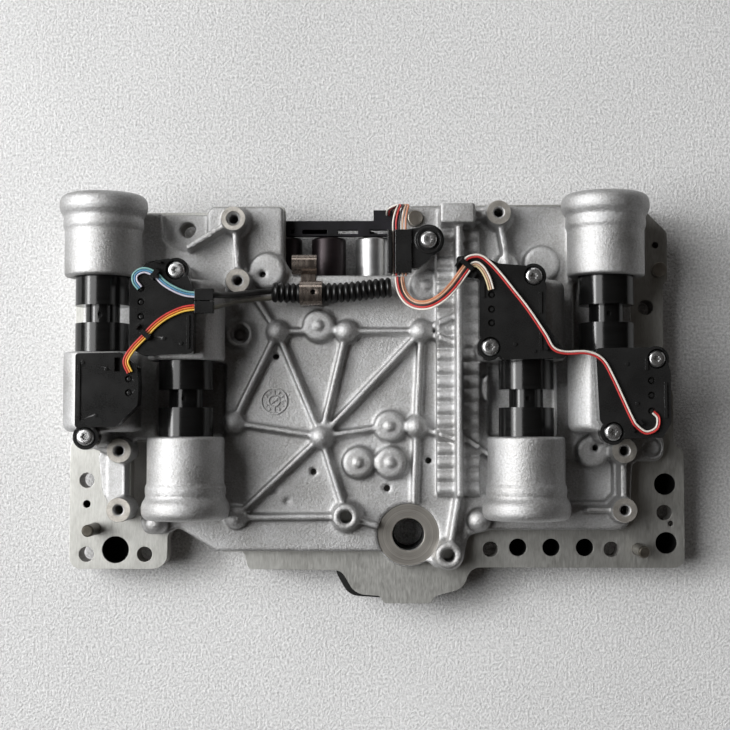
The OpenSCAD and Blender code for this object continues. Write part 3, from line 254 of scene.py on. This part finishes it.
CAST = finish("cast_aluminium", SKIN, {"Light": grey(0.61, -0.005), "Dark": grey(0.36, 0.015), "Grain Scale": 950,
                                       "Grain Share": 0.6, "Blotch Scale": 55, "Smoothest": 0.50,
                                       "Roughest": 0.66}, 1.0, 0.5)
LOWER_CAST = finish("lower_cast_aluminium", SKIN, {"Light": grey(0.46, 0.03), "Dark": grey(0.30, 0.03),
                                                   "Grain Scale": 1000, "Blotch Scale": 55,
                                                   "Smoothest": 0.44, "Roughest": 0.64}, 0.6, 0.2)
PLATE = finish("milled_plate", TOOL_MARKS, {"Light": (0.63, 0.63, 0.60, 1), "Dark": (0.45, 0.448, 0.42, 1),
                                            "Stretch": (1500, 260, 600), "Smoothest": 0.36, "Roughest": 0.48},
               0.85, 0.02)
MILLED = finish("milled_boss", SKIN, {"Light": grey(0.62, 0.05), "Dark": grey(0.42, 0.06), "Grain Scale": 1300,
                                      "Blotch Scale": 260, "Smoothest": 0.30, "Roughest": 0.46}, 0.8, 0.03)
PORT_FACE = finish("turned_port_face", TURNED, {"Light": grey(0.52, 0.05), "Dark": grey(0.26, 0.06),
                                                "Centre": (PORT[0] * MM, PORT[1] * MM, 0.0), "Ring Scale": 1400,
                                                "Smoothest": 0.30, "Roughest": 0.46}, 0.85, 0.05)
# Near-black painted shade for deep port walls and floors, in place of the shade that falls inside them.
BORE_PAINTED_SHADE = finish("bore_painted_shade", SKIN, {"Light": grey(0.012), "Dark": grey(0.004), "Grain Scale": 900,
                                       "Blotch Scale": 90, "Smoothest": 0.55, "Roughest": 0.75}, 0.0, 0.02,
                   [("Specular IOR Level", 0.15)])
PIN = finish("ground_pin", TOOL_MARKS, {"Light": grey(0.42, 0.07), "Dark": grey(0.30, 0.09),
                                        "Stretch": (300, 300, 1500), "Smoothest": 0.28, "Roughest": 0.42},
             0.85, 0.01)
DARK_PIN = finish("long_pin", TOOL_MARKS, {"Light": grey(0.13, 0.10), "Dark": grey(0.07, 0.12),
                                           "Stretch": (300, 300, 1500), "Smoothest": 0.30, "Roughest": 0.44},
                  0.8, 0.01)
ZINC = finish("zinc_screw", SKIN, {"Light": grey(0.74), "Dark": grey(0.55), "Grain Scale": 1800,
                                   "Blotch Scale": 200, "Smoothest": 0.20, "Roughest": 0.34}, 0.95, 0.02)
PISTON_BLACK = finish("black_piston", TOOL_MARKS, {"Light": grey(0.009), "Dark": grey(0.004),
                                                   "Stretch": (40, 900, 40), "Smoothest": 0.14, "Roughest": 0.20},
                      0.0, 0.002, [("Specular IOR Level", 0.36)])
SENSOR_BLACK = finish("sensor_black", SKIN, {"Light": grey(0.020), "Dark": grey(0.011), "Grain Scale": 1500,
                                             "Blotch Scale": 80, "Smoothest": 0.11, "Roughest": 0.2}, 0.0, 0.02,
                      [("Specular IOR Level", 0.5)])
CONDUIT_BLACK = finish("conduit_black", SKIN, {"Light": grey(0.007), "Dark": grey(0.003), "Grain Scale": 1500,
                                               "Blotch Scale": 150, "Smoothest": 0.24, "Roughest": 0.40}, 0.0, 0.03,
                       [("Specular IOR Level", 0.45)])
FRAME_BLACK = finish("lead_frame_black", SKIN, {"Light": (0.010, 0.009, 0.013, 1), "Dark": grey(0.004),
                                                "Grain Scale": 1500, "Blotch Scale": 90,
                                                "Smoothest": 0.34, "Roughest": 0.5}, 0.0, 0.04,
                     [("Specular IOR Level", 0.3)])
ADAPTER_BLACK = finish("adapter_black", SKIN, {"Light": grey(0.014), "Dark": grey(0.005), "Grain Scale": 900,
                                               "Blotch Scale": 60, "Smoothest": 0.5, "Roughest": 0.7}, 0.0, 0.06,
                       [("Specular IOR Level", 0.25)])
BRONZE = finish("spring_clip_bronze", TOOL_MARKS, {"Light": (0.36, 0.31, 0.27, 1), "Dark": (0.19, 0.155, 0.135, 1),
                                                   "Stretch": (500, 60, 500), "Smoothest": 0.20, "Roughest": 0.34},
                0.9, 0.02)
CAN_STEEL = finish("bright_solenoid_can", TOOL_MARKS, {"Light": grey(0.38), "Dark": grey(0.30),
                                                       "Stretch": (60, 300, 60), "Smoothest": 0.34,
                                                       "Roughest": 0.42}, 0.95, 0.0005)
# A darkened copy of the can steel, painted shade for the cans that lie in the shadow of the casting and clip.
CAN_PAINTED_SHADE = finish("solenoid_can_painted_shade", TOOL_MARKS, {"Light": (0.028, 0.021, 0.023, 1),
                                                    "Dark": (0.018, 0.013, 0.015, 1),
                                                    "Stretch": (60, 300, 60), "Smoothest": 0.34,
                                                    "Roughest": 0.44}, 0.7, 0.001)
SPOOL_STEEL = finish("ground_spool", TOOL_MARKS, {"Light": grey(0.68), "Dark": grey(0.5),
                                                  "Stretch": (200, 1800, 200), "Smoothest": 0.15,
                                                  "Roughest": 0.3}, 0.95, 0.005)
SEAL = finish("seal_rubber", SKIN, {"Light": grey(0.04), "Dark": grey(0.02), "Grain Scale": 1400,
                                    "Blotch Scale": 120, "Smoothest": 0.45, "Roughest": 0.62}, 0.0, 0.03)
MAGNET = finish("sintered_magnet", SKIN, {"Light": grey(0.24), "Dark": grey(0.15), "Grain Scale": 1600,
                                          "Blotch Scale": 300, "Smoothest": 0.35, "Roughest": 0.5}, 0.8, 0.03)


def insulation(name, light, dark):
    """The plastic of one wire's insulation."""
    return finish(name, SKIN, {"Light": light + (1,), "Dark": dark + (1,), "Grain Scale": 1500, "Blotch Scale": 260,
                               "Smoothest": 0.34, "Roughest": 0.48}, 0.0, 0.02)


WIRES = {
    "teal": insulation("wire_teal", (0.24, 0.44, 0.42), (0.16, 0.34, 0.33)),
    "blue": insulation("wire_blue", (0.10, 0.28, 0.44), (0.07, 0.21, 0.35)),
    "lilac": insulation("wire_lilac", (0.62, 0.60, 0.68), (0.48, 0.46, 0.55)),
    "red": insulation("wire_red", (0.60, 0.045, 0.04), (0.45, 0.03, 0.03)),
    "orange": insulation("wire_orange", (0.72, 0.20, 0.03), (0.58, 0.13, 0.02)),
    "yellow": insulation("wire_yellow", (0.78, 0.50, 0.07), (0.62, 0.38, 0.05)),
    "white": insulation("wire_white", (0.80, 0.76, 0.70), (0.66, 0.62, 0.56)),
    "black": insulation("wire_black", (0.03, 0.028, 0.028), (0.015, 0.015, 0.015)),
    "tan": insulation("wire_tan", (0.62, 0.40, 0.27), (0.48, 0.29, 0.19)),
    "peach": insulation("wire_peach", (0.60, 0.25, 0.14), (0.46, 0.18, 0.09)),
    "cream": insulation("wire_cream", (0.74, 0.62, 0.38), (0.60, 0.49, 0.28)),
    "black_sleeve": insulation("black_sleeve", (0.014, 0.014, 0.013), (0.006, 0.006, 0.006)),
    "grey_sleeve": insulation("grey_sleeve", (0.17, 0.16, 0.13), (0.10, 0.095, 0.075)),
}


def piece(name, mesh, materials, body="housing", node=None, smooth_deg=35, flats=False):
    """Puts a mesh in the scene as a piece of a body, in place of a CAD node where one is named."""
    obj = bpy.data.objects.new(name, mesh)
    bpy.context.scene.collection.objects.link(obj)
    if len(mesh.materials):
        mesh.materials.clear()
    for m in materials:
        mesh.materials.append(m)
    mesh.shade_smooth()
    mesh.set_sharp_from_angle(angle=math.radians(smooth_deg))
    if flats:
        even = obj.modifiers.new("flat_faces", "WEIGHTED_NORMAL")
        even.weight = 100
        even.keep_sharp = True
    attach(obj, body)
    if node:
        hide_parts(node)
    return obj


def welded(node):
    """A CAD node's mesh as bmesh, with its split corners joined."""
    bm = bmesh.new()
    bm.from_mesh(NODES[node].data)
    bmesh.ops.remove_doubles(bm, verts=bm.verts, dist=2e-6)
    return bm


def to_mesh(bm, name):
    """The bmesh as a new mesh, without the CAD import's own normals."""
    mesh = bpy.data.meshes.new(name)
    bm.to_mesh(mesh)
    bm.free()
    for layer in ("custom_normal", "sharp_edge"):
        if layer in mesh.attributes:
            mesh.attributes.remove(mesh.attributes[layer])
    return mesh


def eased(node, radius_mm, angle_deg=32, segments=2):
    """A CAD node with its flat faces in one piece and its sharp edges eased by a small radius."""
    bm = welded(node)
    bmesh.ops.dissolve_limit(bm, angle_limit=math.radians(0.5), verts=bm.verts, edges=bm.edges)
    sharp = [e for e in bm.edges if len(e.link_faces) == 2 and e.calc_face_angle(0) > math.radians(angle_deg)]
    bmesh.ops.bevel(bm, geom=sharp, offset=radius_mm * MM, offset_type="OFFSET", segments=segments, profile=0.5,
                    affect="EDGES", clamp_overlap=True)
    bmesh.ops.triangulate(bm, faces=[f for f in bm.faces if len(f.verts) > 4])
    return to_mesh(bm, node)


def catmull(points, steps):
    """A smooth curve through the points."""
    p = [Vector(q) for q in points]
    p = [p[0] * 2 - p[1]] + p + [p[-1] * 2 - p[-2]]
    out = []
    for a, b, c, d in zip(p, p[1:], p[2:], p[3:]):
        for k in range(steps):
            t = k / steps
            out.append(0.5 * (2 * b + (c - a) * t + (2 * a - 5 * b + 4 * c - d) * t * t
                              + (3 * b - a - 3 * c + d) * t ** 3))
    out.append(p[-2])
    return out


def tangents(path):
    """The direction of a path at each of its points."""
    return [(path[min(i + 1, len(path) - 1)] - path[max(i - 1, 0)]).normalized() for i in range(len(path))]


def beside(path, shift, across=None, wobble=0.0, phase=0.0, stack=0.0, gather=1.0):
    """The path moved sideways, as one wire of a ribbon; stack lifts it between the ends, as in a bundle, and
    gather draws it towards the middle over the second third of the way."""
    out = []
    for i, (p, t) in enumerate(zip(path, tangents(path))):
        side = Vector(across) if across else t.cross(Vector((0, 0, 1))).normalized()
        between = min(1.0, i / 8, (len(path) - 1 - i) / 8)
        lift = wobble * math.sin(0.37 * i + phase) + stack * between
        drawn = min(1.0, max(0.0, 3 * i / len(path) - 1))
        out.append(p + side * shift * (1 + (gather - 1) * drawn) + Vector((0, 0, lift)))
    return out


def sweep(bm, path, radius, sides=12, material=0):
    """A closed round tube along a path in millimetres; radius is one number or one for each point."""
    t = tangents(path)
    u = t[0].orthogonal().normalized()
    rings = []
    for i, p in enumerate(path):
        if i:
            u = (u - t[i] * u.dot(t[i])).normalized()
        v = t[i].cross(u)
        r = radius if isinstance(radius, (int, float)) else radius[i]
        rings.append([bm.verts.new((p + (u * math.cos(a) + v * math.sin(a)) * r) * MM)
                      for a in (2 * math.pi * k / sides for k in range(sides))])
    for a, b in zip(rings, rings[1:]):
        for k in range(sides):
            f = bm.faces.new((a[k], a[(k + 1) % sides], b[(k + 1) % sides], b[k]))
            f.material_index = material
    for ring, flip in ((rings[0], True), (rings[-1], False)):
        f = bm.faces.new(ring[::-1] if flip else ring)
        f.material_index = material


def revolve(bm, profile, centre, sides=48, axis="Z", material=0):
    """A turned solid from [radius, height] pairs in millimetres, about an axis through centre."""
    rings = []
    for r, h in profile:
        ring = []
        for k in range(sides if r > 1e-6 else 1):
            a = 2 * math.pi * k / sides
            across, up = r * math.cos(a), r * math.sin(a)
            q = Vector((across, up, h)) if axis == "Z" else Vector((across, h, -up))
            ring.append(bm.verts.new((Vector(centre) + q) * MM))
        rings.append(ring)
    for a, b in zip(rings, rings[1:]):
        for k in range(sides):
            corners = [a[k % len(a)], a[(k + 1) % len(a)], b[(k + 1) % len(b)], b[k % len(b)]]
            unique = [c for n, c in enumerate(corners) if c not in corners[:n]]
            if len(unique) > 2:
                bm.faces.new(unique).material_index = material


def baked(obj):
    """The mesh of an object with its modifiers worked in."""
    bpy.context.view_layer.update()
    mesh = bpy.data.meshes.new_from_object(obj.evaluated_get(bpy.context.evaluated_depsgraph_get()))
    bpy.data.objects.remove(obj)
    return mesh


def stand_in(name, mesh):
    """A short-lived object for a modifier to work on."""
    obj = bpy.data.objects.new(name, mesh)
    bpy.context.scene.collection.objects.link(obj)
    return obj


def drilled_holes():
    """Crisp cutters for every drilled or bored hole of the upper casting."""
    bm = bmesh.new()
    for x, y in CYLINDERS.values():
        revolve(bm, [(0, -BORE_HALF), (BORE_R, -BORE_HALF), (BORE_R, BORE_HALF), (0, BORE_HALF)], (x, y, AXIS_Z),
                64, "Y")
    for x, y in CORNER_BOSSES + UPPER_BOSSES:
        revolve(bm, [(0, -40), (BOSS_HOLE_R, -40), (BOSS_HOLE_R, 4), (0, 4)], (x, y, BOSS_Z), 32)
    for x, y in VENTS:
        revolve(bm, [(0, -20), (VENT_R, -20), (VENT_R, 12), (0, 12)], (x, y, FLOOR_Z), 24)
    for x, y in LOW_BOSSES:
        revolve(bm, [(0, -20), (LOW_HOLE_R, -20), (LOW_HOLE_R, 20), (0, 20)], (x, y, FLOOR_Z), 32)
    revolve(bm, [(0, -20), (PORT_R, -20), (PORT_R, 0), (PORT_FACE_R, 0), (PORT_FACE_R, 20), (0, 20)],
            PORT + (PORT_FACE_Z,), 64)
    bmesh.ops.recalc_face_normals(bm, faces=bm.faces)
    return stand_in("drills", to_mesh(bm, "drills"))


def upper_casting():
    """The upper casting with the soft edges and fillets of a die casting, and crisp bores."""
    raw = stand_in("raw_casting", to_mesh(welded("upper_body"), "raw_casting"))
    grid = raw.modifiers.new("grid", "REMESH")
    grid.mode = "VOXEL"
    grid.voxel_size = CASTING_GRID * MM
    soft = raw.modifiers.new("soft", "SMOOTH")
    soft.factor = 0.5
    soft.iterations = 4
    soft_body = stand_in("soft_casting", baked(raw))
    drills = drilled_holes()
    bore = soft_body.modifiers.new("bore", "BOOLEAN")
    bore.operation = "DIFFERENCE"
    bore.solver = "MANIFOLD"
    bore.object = drills
    bored = stand_in("bored_casting", baked(soft_body))
    bpy.data.objects.remove(drills)
    corners = sum(len(f.vertices) - 2 for f in bored.data.polygons)
    thin = bored.modifiers.new("thin", "DECIMATE")
    thin.ratio = min(1.0, CASTING_TRIANGLES / corners)
    mesh = baked(bored)
    # Faces inside the main port's bore get the near-black painted shade.
    for f in mesh.polygons:
        x, y, z = f.center / MM
        f.material_index = int(z < PORT_FACE_Z - 0.4 and math.hypot(x - PORT[0], y - PORT[1]) < 8.8)
    piece("upper_casting", mesh, [CAST, BORE_PAINTED_SHADE], node="upper_body", smooth_deg=50)


def milled_bosses():
    """Milled rings on the boss tops, with the chamfer and wall of each tapped hole."""
    bm = bmesh.new()
    for x, y in CORNER_BOSSES + UPPER_BOSSES[1:]:
        revolve(bm, [(6.1, -1.2), (6.5, -0.3), (6.3, 0.03), (3.4, 0.03), (2.55, -0.9), (2.5, -12), (3.4, -12),
                     (3.4, -1.2), (6.1, -1.2)], (x, y, BOSS_Z), 48)
    revolve(bm, [(6.1, -1.2), (6.5, -0.3), (6.3, 0.03), (4.1, 0.03), (3.75, -0.4), (3.75, -1.2), (6.1, -1.2)],
            UPPER_BOSSES[0] + (BOSS_Z,), 48)
    bmesh.ops.remove_doubles(bm, verts=bm.verts, dist=1e-6)
    piece("milled_bosses", to_mesh(bm, "milled_bosses"), [MILLED])


def port_face():
    """The turned face round the main port."""
    bm = bmesh.new()
    revolve(bm, [(8.75, -0.6), (8.75, -0.25), (9.1, 0.05), (16.7, 0.05), (16.7, -0.6), (8.75, -0.6)],
            PORT + (PORT_FACE_Z,), 96)
    bmesh.ops.remove_doubles(bm, verts=bm.verts, dist=1e-6)
    piece("turned_port_face", to_mesh(bm, "turned_port_face"), [PORT_FACE])


def date_dial():
    """A plain cast dial: two low rings with twelve ticks and a pointer, without characters."""
    bm = bmesh.new()
    for outer, inner in ((7.4, 6.5), (3.3, 2.6)):
        revolve(bm, [(inner, -0.4), (outer, -0.4), (outer - 0.1, 0.9), (inner + 0.1, 0.9), (inner, -0.4)],
                DIAL + (FLOOR_Z,), 64)
    middle = Matrix.Translation(Vector(DIAL + (FLOOR_Z - 0.05,)) * MM)
    for k in range(12):
        turn = middle @ Matrix.Rotation(math.radians(30 * k), 4, "Z")
        long = 2.6 if k % 3 == 0 else 1.5
        bar = turn @ Matrix.Translation(Vector((5.9 - long / 2, 0, 0)) * MM) @ Matrix.Diagonal(
            Vector((long, 0.8, 1.9)) * MM).to_4x4()
        bmesh.ops.create_cube(bm, size=1.0, matrix=bar)
    pointer = middle @ Matrix.Rotation(DIAL_TURN, 4, "Z") @ Matrix.Diagonal(Vector((4.2, 0.9, 1.9)) * MM).to_4x4()
    bmesh.ops.create_cube(bm, size=1.0, matrix=pointer)
    bmesh.ops.remove_doubles(bm, verts=bm.verts, dist=1e-6)
    piece("plain_date_dial", to_mesh(bm, "plain_date_dial"), [CAST])


def lower_casting():
    """The lower body, with near-black painted shade on the walls and floors of its blind ports."""
    mesh = eased("lower_body", 0.6)
    for f in mesh.polygons:
        x, y, z = f.center / MM
        # Faces inside the blind ports get the near-black painted shade.
        if 2.5 < z < 21.5 and any(math.hypot(x - px, y - py) < r + 0.05 for px, py, r in DARK_PORTS):
            f.material_index = 1
    piece("lower_casting", mesh, [LOWER_CAST, BORE_PAINTED_SHADE], node="lower_body", flats=True)


# The wires' radius and spacing, and the points that each lead's middle follows.
WIRE_R = 0.52
WIRE_PITCH = 1.14
INNER_LEFT = [(-120.5, 57.5, 82.9), (-123, 61, 83), (-122.6, 64.6, 83), (-118.3, 66.7, 83), (-112.8, 64.6, 83.1),
              (-107.9, 60, 83.4), (-101.8, 56.4, 83.6), (-96.5, 54.5, 83.6), (-92.2, 54, 83.5),
              (-89.5, 53.95, 83.5)]
OUTER_LEFT = [(-125.3, 14.3, 82.9), (-127.4, 20, 83), (-124, 26.2, 83), (-118, 32.6, 83.1), (-112.6, 38.4, 83.2),
              (-106.4, 43, 83.2), (-99.4, 46.2, 83.3), (-94, 47.3, 83.5), (-89.5, 47.45, 83.5)]
LEFT_TRUNK = [
    [(-83.5, 53.95, 83.5), (-81.9, 53.9, 83.45), (-79.4, 54, 80), (-74.7, 55.5, 66), (-69.5, 57.3, 56),
     (-65, 58.4, 50), (-60, 59.2, 46.8), (-56.2, 59.6, 45.8)],
    [(-83.5, 47.45, 83.5), (-81.9, 47.5, 83.45), (-79.4, 48.6, 80), (-74.7, 51.6, 66), (-69.5, 53.4, 56),
     (-65, 54.6, 50), (-60, 55.3, 46.8), (-56.2, 55.8, 45.8)]]
CONDUIT = [(-55.6, 59, 45.6), (-50, 58.9, 44.4), (-44, 58.7, 43.7), (-26, 58.7, 43.7), (-18, 59, 43.7),
           (-9, 59.8, 43.9), (-1, 60.8, 44.3), (8.5, 61.7, 44.6)]
GUIDE = [(12.8, 67.3, 50.1), (12.8, 75, 50), (12.8, 84, 50), (12.7, 91, 50.2), (12.8, 97, 51.2), (13.8, 102, 51.2),
         (14.8, 105.2, 48.6), (14, 106.6, 43), (11.6, 106.8, 36), (9.2, 106.5, 29), (8.6, 105.8, 22),
         (8.6, 105.3, 16.1)]
LOOP = [(12.8, 66.9, 50.1), (12.9, 64, 50.2), (14.2, 58.6, 51), (17.5, 53.8, 52.5), (22.6, 51.2, 55),
        (28.6, 51.2, 60), (34.8, 54, 69), (39.8, 58.4, 78.5), (43.2, 62.7, 83.6), (47, 67.9, 83.2)]
INNER_RIGHT = [(48.6, 67.3, 83.2), (49.9, 69, 83.2), (52.2, 69.3, 83.2), (55, 66.9, 83.2), (57.6, 62, 83.2),
               (59.2, 56.5, 83)]
OUTER_RIGHT = [(45.1, 69.7, 83.2), (47.6, 72.9, 83.2), (53.5, 73.6, 83.2), (58.8, 69.8, 83.3), (64.5, 63.5, 83.5),
               (70, 56.5, 83.7), (77.5, 46.8, 83.9), (86.3, 33.6, 83.9), (90.4, 26.6, 83.7), (96.5, 24.2, 83.6),
               (108, 24.2, 83.4), (115.5, 20.5, 83.3), (120.5, 12, 83.2), (125.5, 1, 83.2), (130, -9, 83.2),
               (132.6, -13.2, 83.2), (137.5, -16.4, 83.2), (142.6, -14.2, 83.2), (143.5, -9, 83.1), (141, -6, 83)]


def wire_ribbon(node, route, colours, across=None, pitch=WIRE_PITCH, stack=0.0, gather=1.0):
    """Ribbon or loose bundle of insulated wires along its route, one colour each."""
    bm = bmesh.new()
    path = catmull(route, 6)
    for k in range(len(colours)):
        shift = (k - (len(colours) - 1) / 2) * pitch
        lift = stack if k % 2 else -stack
        sweep(bm, beside(path, shift, across, 0.06, 1.7 * k, lift, gather), WIRE_R, 12, k)
    piece(node + "_wires", to_mesh(bm, node), [WIRES[c] for c in colours], node=node, smooth_deg=60)


# Place, heading in degrees and width across the leads.
LEAD_CLIPS = [(-112.8, 64.6, -40, 6.0), (-117.2, 33.5, 47, 6.0), (46.6, 69.2, 52, 8.6)]


def lead_clips():
    """Small black bridges that hold the leads down on the sensors."""
    bm = bmesh.new()
    for x, y, heading, width in LEAD_CLIPS:
        w, turn = width / 2, Matrix.Rotation(math.radians(heading), 3, "Z")
        outline = [(-w, 81.9), (-w, 84.6), (-w + 0.5, 85.1), (w - 0.5, 85.1), (w, 84.6), (w, 81.9), (w - 0.9, 81.9),
                   (w - 0.9, 84.2), (-w + 0.9, 84.2), (-w + 0.9, 81.9)]
        ends = [[bm.verts.new((turn @ Vector((along, a, 0)) + Vector((x, y, z))) * MM) for a, z in outline]
                for along in (-1.3, 1.3)]
        n = len(outline)
        for k in range(n):
            bm.faces.new((ends[0][k], ends[0][(k + 1) % n], ends[1][(k + 1) % n], ends[1][k]))
        caps = [bm.faces.new(ends[0][::-1]), bm.faces.new(ends[1])]
        bmesh.ops.triangulate(bm, faces=caps)
    bmesh.ops.recalc_face_normals(bm, faces=bm.faces)
    piece("lead_clips", to_mesh(bm, "lead_clips"), [SENSOR_BLACK])


def left_trunk():
    """The two dark sleeves between the tie and the conduit."""
    bm = bmesh.new()
    for k, radius in enumerate((1.6, 1.2)):
        sweep(bm, catmull(LEFT_TRUNK[k], 6), radius, 14, k)
    piece("left_trunk_sleeves", to_mesh(bm, "left_trunk"), [WIRES["black_sleeve"], WIRES["grey_sleeve"]],
          node="left_trunk", smooth_deg=60)


def conduit():
    """Corrugated conduit with round ridges and narrow valleys."""
    route = catmull(CONDUIT, 40)
    steps = [0.0]
    for a, b in zip(route, route[1:]):
        steps.append(steps[-1] + (b - a).length)
    ridges, per = 20, 8
    path, radii, k = [], [], 0
    for n in range(ridges * per + 1):
        d = steps[-1] * n / (ridges * per)
        while k < len(steps) - 2 and steps[k + 1] < d:
            k += 1
        f = (d - steps[k]) / (steps[k + 1] - steps[k])
        path.append(route[k].lerp(route[k + 1], f))
        wave = 0.5 - 0.5 * math.cos(2 * math.pi * n / per)
        radii.append(4.2 + 1.3 * wave ** 0.5)
    bm = bmesh.new()
    sweep(bm, path, radii, 28)
    piece("corrugated_conduit", to_mesh(bm, "conduit"), [CONDUIT_BLACK], node="conduit", smooth_deg=80)


def lobed_screw(bm, place):
    """A pan-head screw with a six-lobed socket, seated at place, with its shank in the casting."""
    x, y, z = place
    n = 72
    outline = [(-17.0, 2.0), (-16.4, 2.4), (0, 2.4), (0, 4.5), (1.6, 4.5), (2.4, 4.3), (3.0, 3.9), (3.3, 3.3),
               (3.4, 2.7)]
    rings = []
    for h, r in outline:
        rings.append([(r * math.cos(2 * math.pi * k / n), r * math.sin(2 * math.pi * k / n), h) for k in range(n)])
    for h, grow in ((3.38, 0.08), (3.2, 0.0), (1.7, 0.0)):
        lobe = [1.55 + grow + 0.28 * math.cos(12 * math.pi * k / n) for k in range(n)]
        rings.append([(lobe[k] * math.cos(2 * math.pi * k / n), lobe[k] * math.sin(2 * math.pi * k / n), h)
                      for k in range(n)])
    made = [[bm.verts.new((Vector(p) + Vector((x, y, z))) * MM) for p in ring] for ring in rings]
    for a, b in zip(made, made[1:]):
        for k in range(n):
            bm.faces.new((a[k], a[(k + 1) % n], b[(k + 1) % n], b[k]))
    bm.faces.new(made[0][::-1])
    bm.faces.new(made[-1])


def sensor_screws():
    """The seven screws that hold the sensors and the wire guide, as one piece."""
    bm = bmesh.new()
    for place in SCREW_PLACES:
        lobed_screw(bm, place)
    piece("lobed_sensor_screws", to_mesh(bm, "sensor_screws"), [ZINC], node="sensor_screws", smooth_deg=40)


def studio():
    """Pale textured floor, a large soft key with a small core from the left, a weak far fill and an even world."""
    scene = bpy.context.scene
    scene.view_settings.view_transform = "Standard"
    bm = bmesh.new()
    bmesh.ops.create_grid(bm, x_segments=2, y_segments=2, size=3.0)
    floor = bpy.data.objects.new("floor", to_mesh(bm, "floor"))
    scene.collection.objects.link(floor)
    sheet = finish("pale_sheet", SKIN, {"Light": grey(1.0), "Dark": grey(0.52), "Grain Scale": 740,
                                        "Grain Share": 0.75, "Blotch Scale": 2.5, "Smoothest": 0.6,
                                        "Roughest": 0.8}, 0.0, 2.4)
    floor.data.materials.append(sheet)
    world = bpy.data.worlds.new("studio_world")
    world.use_nodes = True
    world.node_tree.nodes["Background"].inputs["Color"].default_value = (1.0, 0.88, 0.80, 1)
    world.node_tree.nodes["Background"].inputs["Strength"].default_value = 0.025
    scene.world = world
    lamp("key_left", (-1.75, 0.45, 1.75), (0.0, 0.0, 0.03), 2.2, 2.2, 80.0)
    lamp("key_core", (-1.95, 0.3, 1.45), (0.0, 0.0, 0.03), 0.4, 0.8, 20.0)
    lamp("fill_far", (0.1, 1.9, 0.85), (0.0, 0.1, 0.0), 0.9, 0.5, 4.0)


def lamp(name, place, target, width, height, power):
    """A rectangular lamp that faces a target; metres and watts."""
    data = bpy.data.lights.new(name, "AREA")
    data.shape = "RECTANGLE"
    data.size, data.size_y, data.energy = width, height, power
    obj = bpy.data.objects.new(name, data)
    bpy.context.scene.collection.objects.link(obj)
    obj.matrix_world = looking(Vector(place), Vector(target))


def looking(place, target, up=Vector((0, 1, 0))):
    """The matrix of a camera or lamp at place that faces target."""
    z = (place - target).normalized()
    x = up.cross(z).normalized()
    y = z.cross(x)
    return Matrix.Translation(place) @ Matrix((x, y, z)).transposed().to_4x4()


def camera():
    """The view from above that the part is shown in."""
    data = bpy.data.cameras.new("camera")
    data.lens, data.sensor_width = 69.9, 36.0
    data.clip_start, data.clip_end = 0.01, 20.0
    obj = bpy.data.objects.new("camera", data)
    bpy.context.scene.collection.objects.link(obj)
    obj.matrix_world = looking(Vector(CAMERA_AT) * MM, Vector(CAMERA_AIM) * MM)
    bpy.context.scene.camera = obj


camera()
studio()
upper_casting()
milled_bosses()
port_face()
date_dial()
piece("milled_separator_plate", eased("separator_plate", 0.25), [PLATE], node="separator_plate", flats=True)
lower_casting()
piece("long_dowel_pins", eased("long_dowels", 0.1), [DARK_PIN], node="long_dowels", flats=True)
piece("short_dowel_pins", eased("short_dowels", 0.4), [PIN], node="short_dowels", flats=True)
piece("solenoid_lead_frame", eased("lead_frame", 0.35), [FRAME_BLACK], node="lead_frame", flats=True)
piece("port_adapter_block", eased("port_adapter", 0.5), [ADAPTER_BLACK], node="port_adapter", flats=True)
piece("wire_guide_block", eased("wire_guide", 0.9, segments=4), [SENSOR_BLACK], node="wire_guide", flats=True)
piece("conduit_spring_clip", eased("conduit_clip", 0.12), [BRONZE], node="conduit_clip", flats=True)
piece("wire_tie_block", eased("wire_tie", 0.7, segments=3), [SENSOR_BLACK], node="wire_tie", flats=True)
piece("body_bolt_set", eased("body_bolts", 0.3), [ZINC], node="body_bolts", flats=True)
piece("spool_plug_set", eased("spool_plugs", 0.2), [PIN], node="spool_plugs", flats=True)
# Cans 2 and 3 take the darkened copy of the steel: painted shade.
for i in range(1, 7):
    piece(f"solenoid_can_{i}", eased(f"solenoid_{i}", 0.3), [CAN_PAINTED_SHADE if i in (2, 3) else CAN_STEEL],
          node=f"solenoid_{i}", flats=True)
for i in range(1, 4):
    NODES[f"spool_{i}"].data.materials.clear()
    NODES[f"spool_{i}"].data.materials.append(SPOOL_STEEL)
    coil = piece(f"spool_coil_{i}", to_mesh(welded(f"spool_spring_{i}"), f"spool_coil_{i}"), [ZINC],
                 node=f"spool_spring_{i}", smooth_deg=65)
    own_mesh(coil)
for name in CYLINDERS:
    body = "piston_" + name
    piece(f"sensor_block_{name}", eased("sensor_" + name, 0.7, segments=3), [SENSOR_BLACK],
          node="sensor_" + name, flats=True)
    piece(f"piston_{name}_lands", eased("shift_piston_" + name, 0.3), [PISTON_BLACK], body, "shift_piston_" + name,
          flats=True)
    for part, material in (("piston_seals_", SEAL), ("magnet_", MAGNET)):
        NODES[part + name].data.materials.clear()
        NODES[part + name].data.materials.append(material)
wire_ribbon("inner_left_leads", INNER_LEFT, ["teal", "blue", "lilac"])
wire_ribbon("outer_left_leads", OUTER_LEFT, ["red", "orange", "yellow"])
wire_ribbon("guide_leads", GUIDE, ["white", "red", "black", "tan", "peach"], (1, 0, 0), 1.7, gather=0.74)
wire_ribbon("right_loop", LOOP, ["peach", "tan", "black", "red", "white"], pitch=1.05, stack=0.36)
wire_ribbon("inner_right_leads", INNER_RIGHT, ["white", "tan", "cream"])
wire_ribbon("outer_right_leads", OUTER_RIGHT, ["white", "red"])
lead_clips()
left_trunk()
conduit()
sensor_screws()
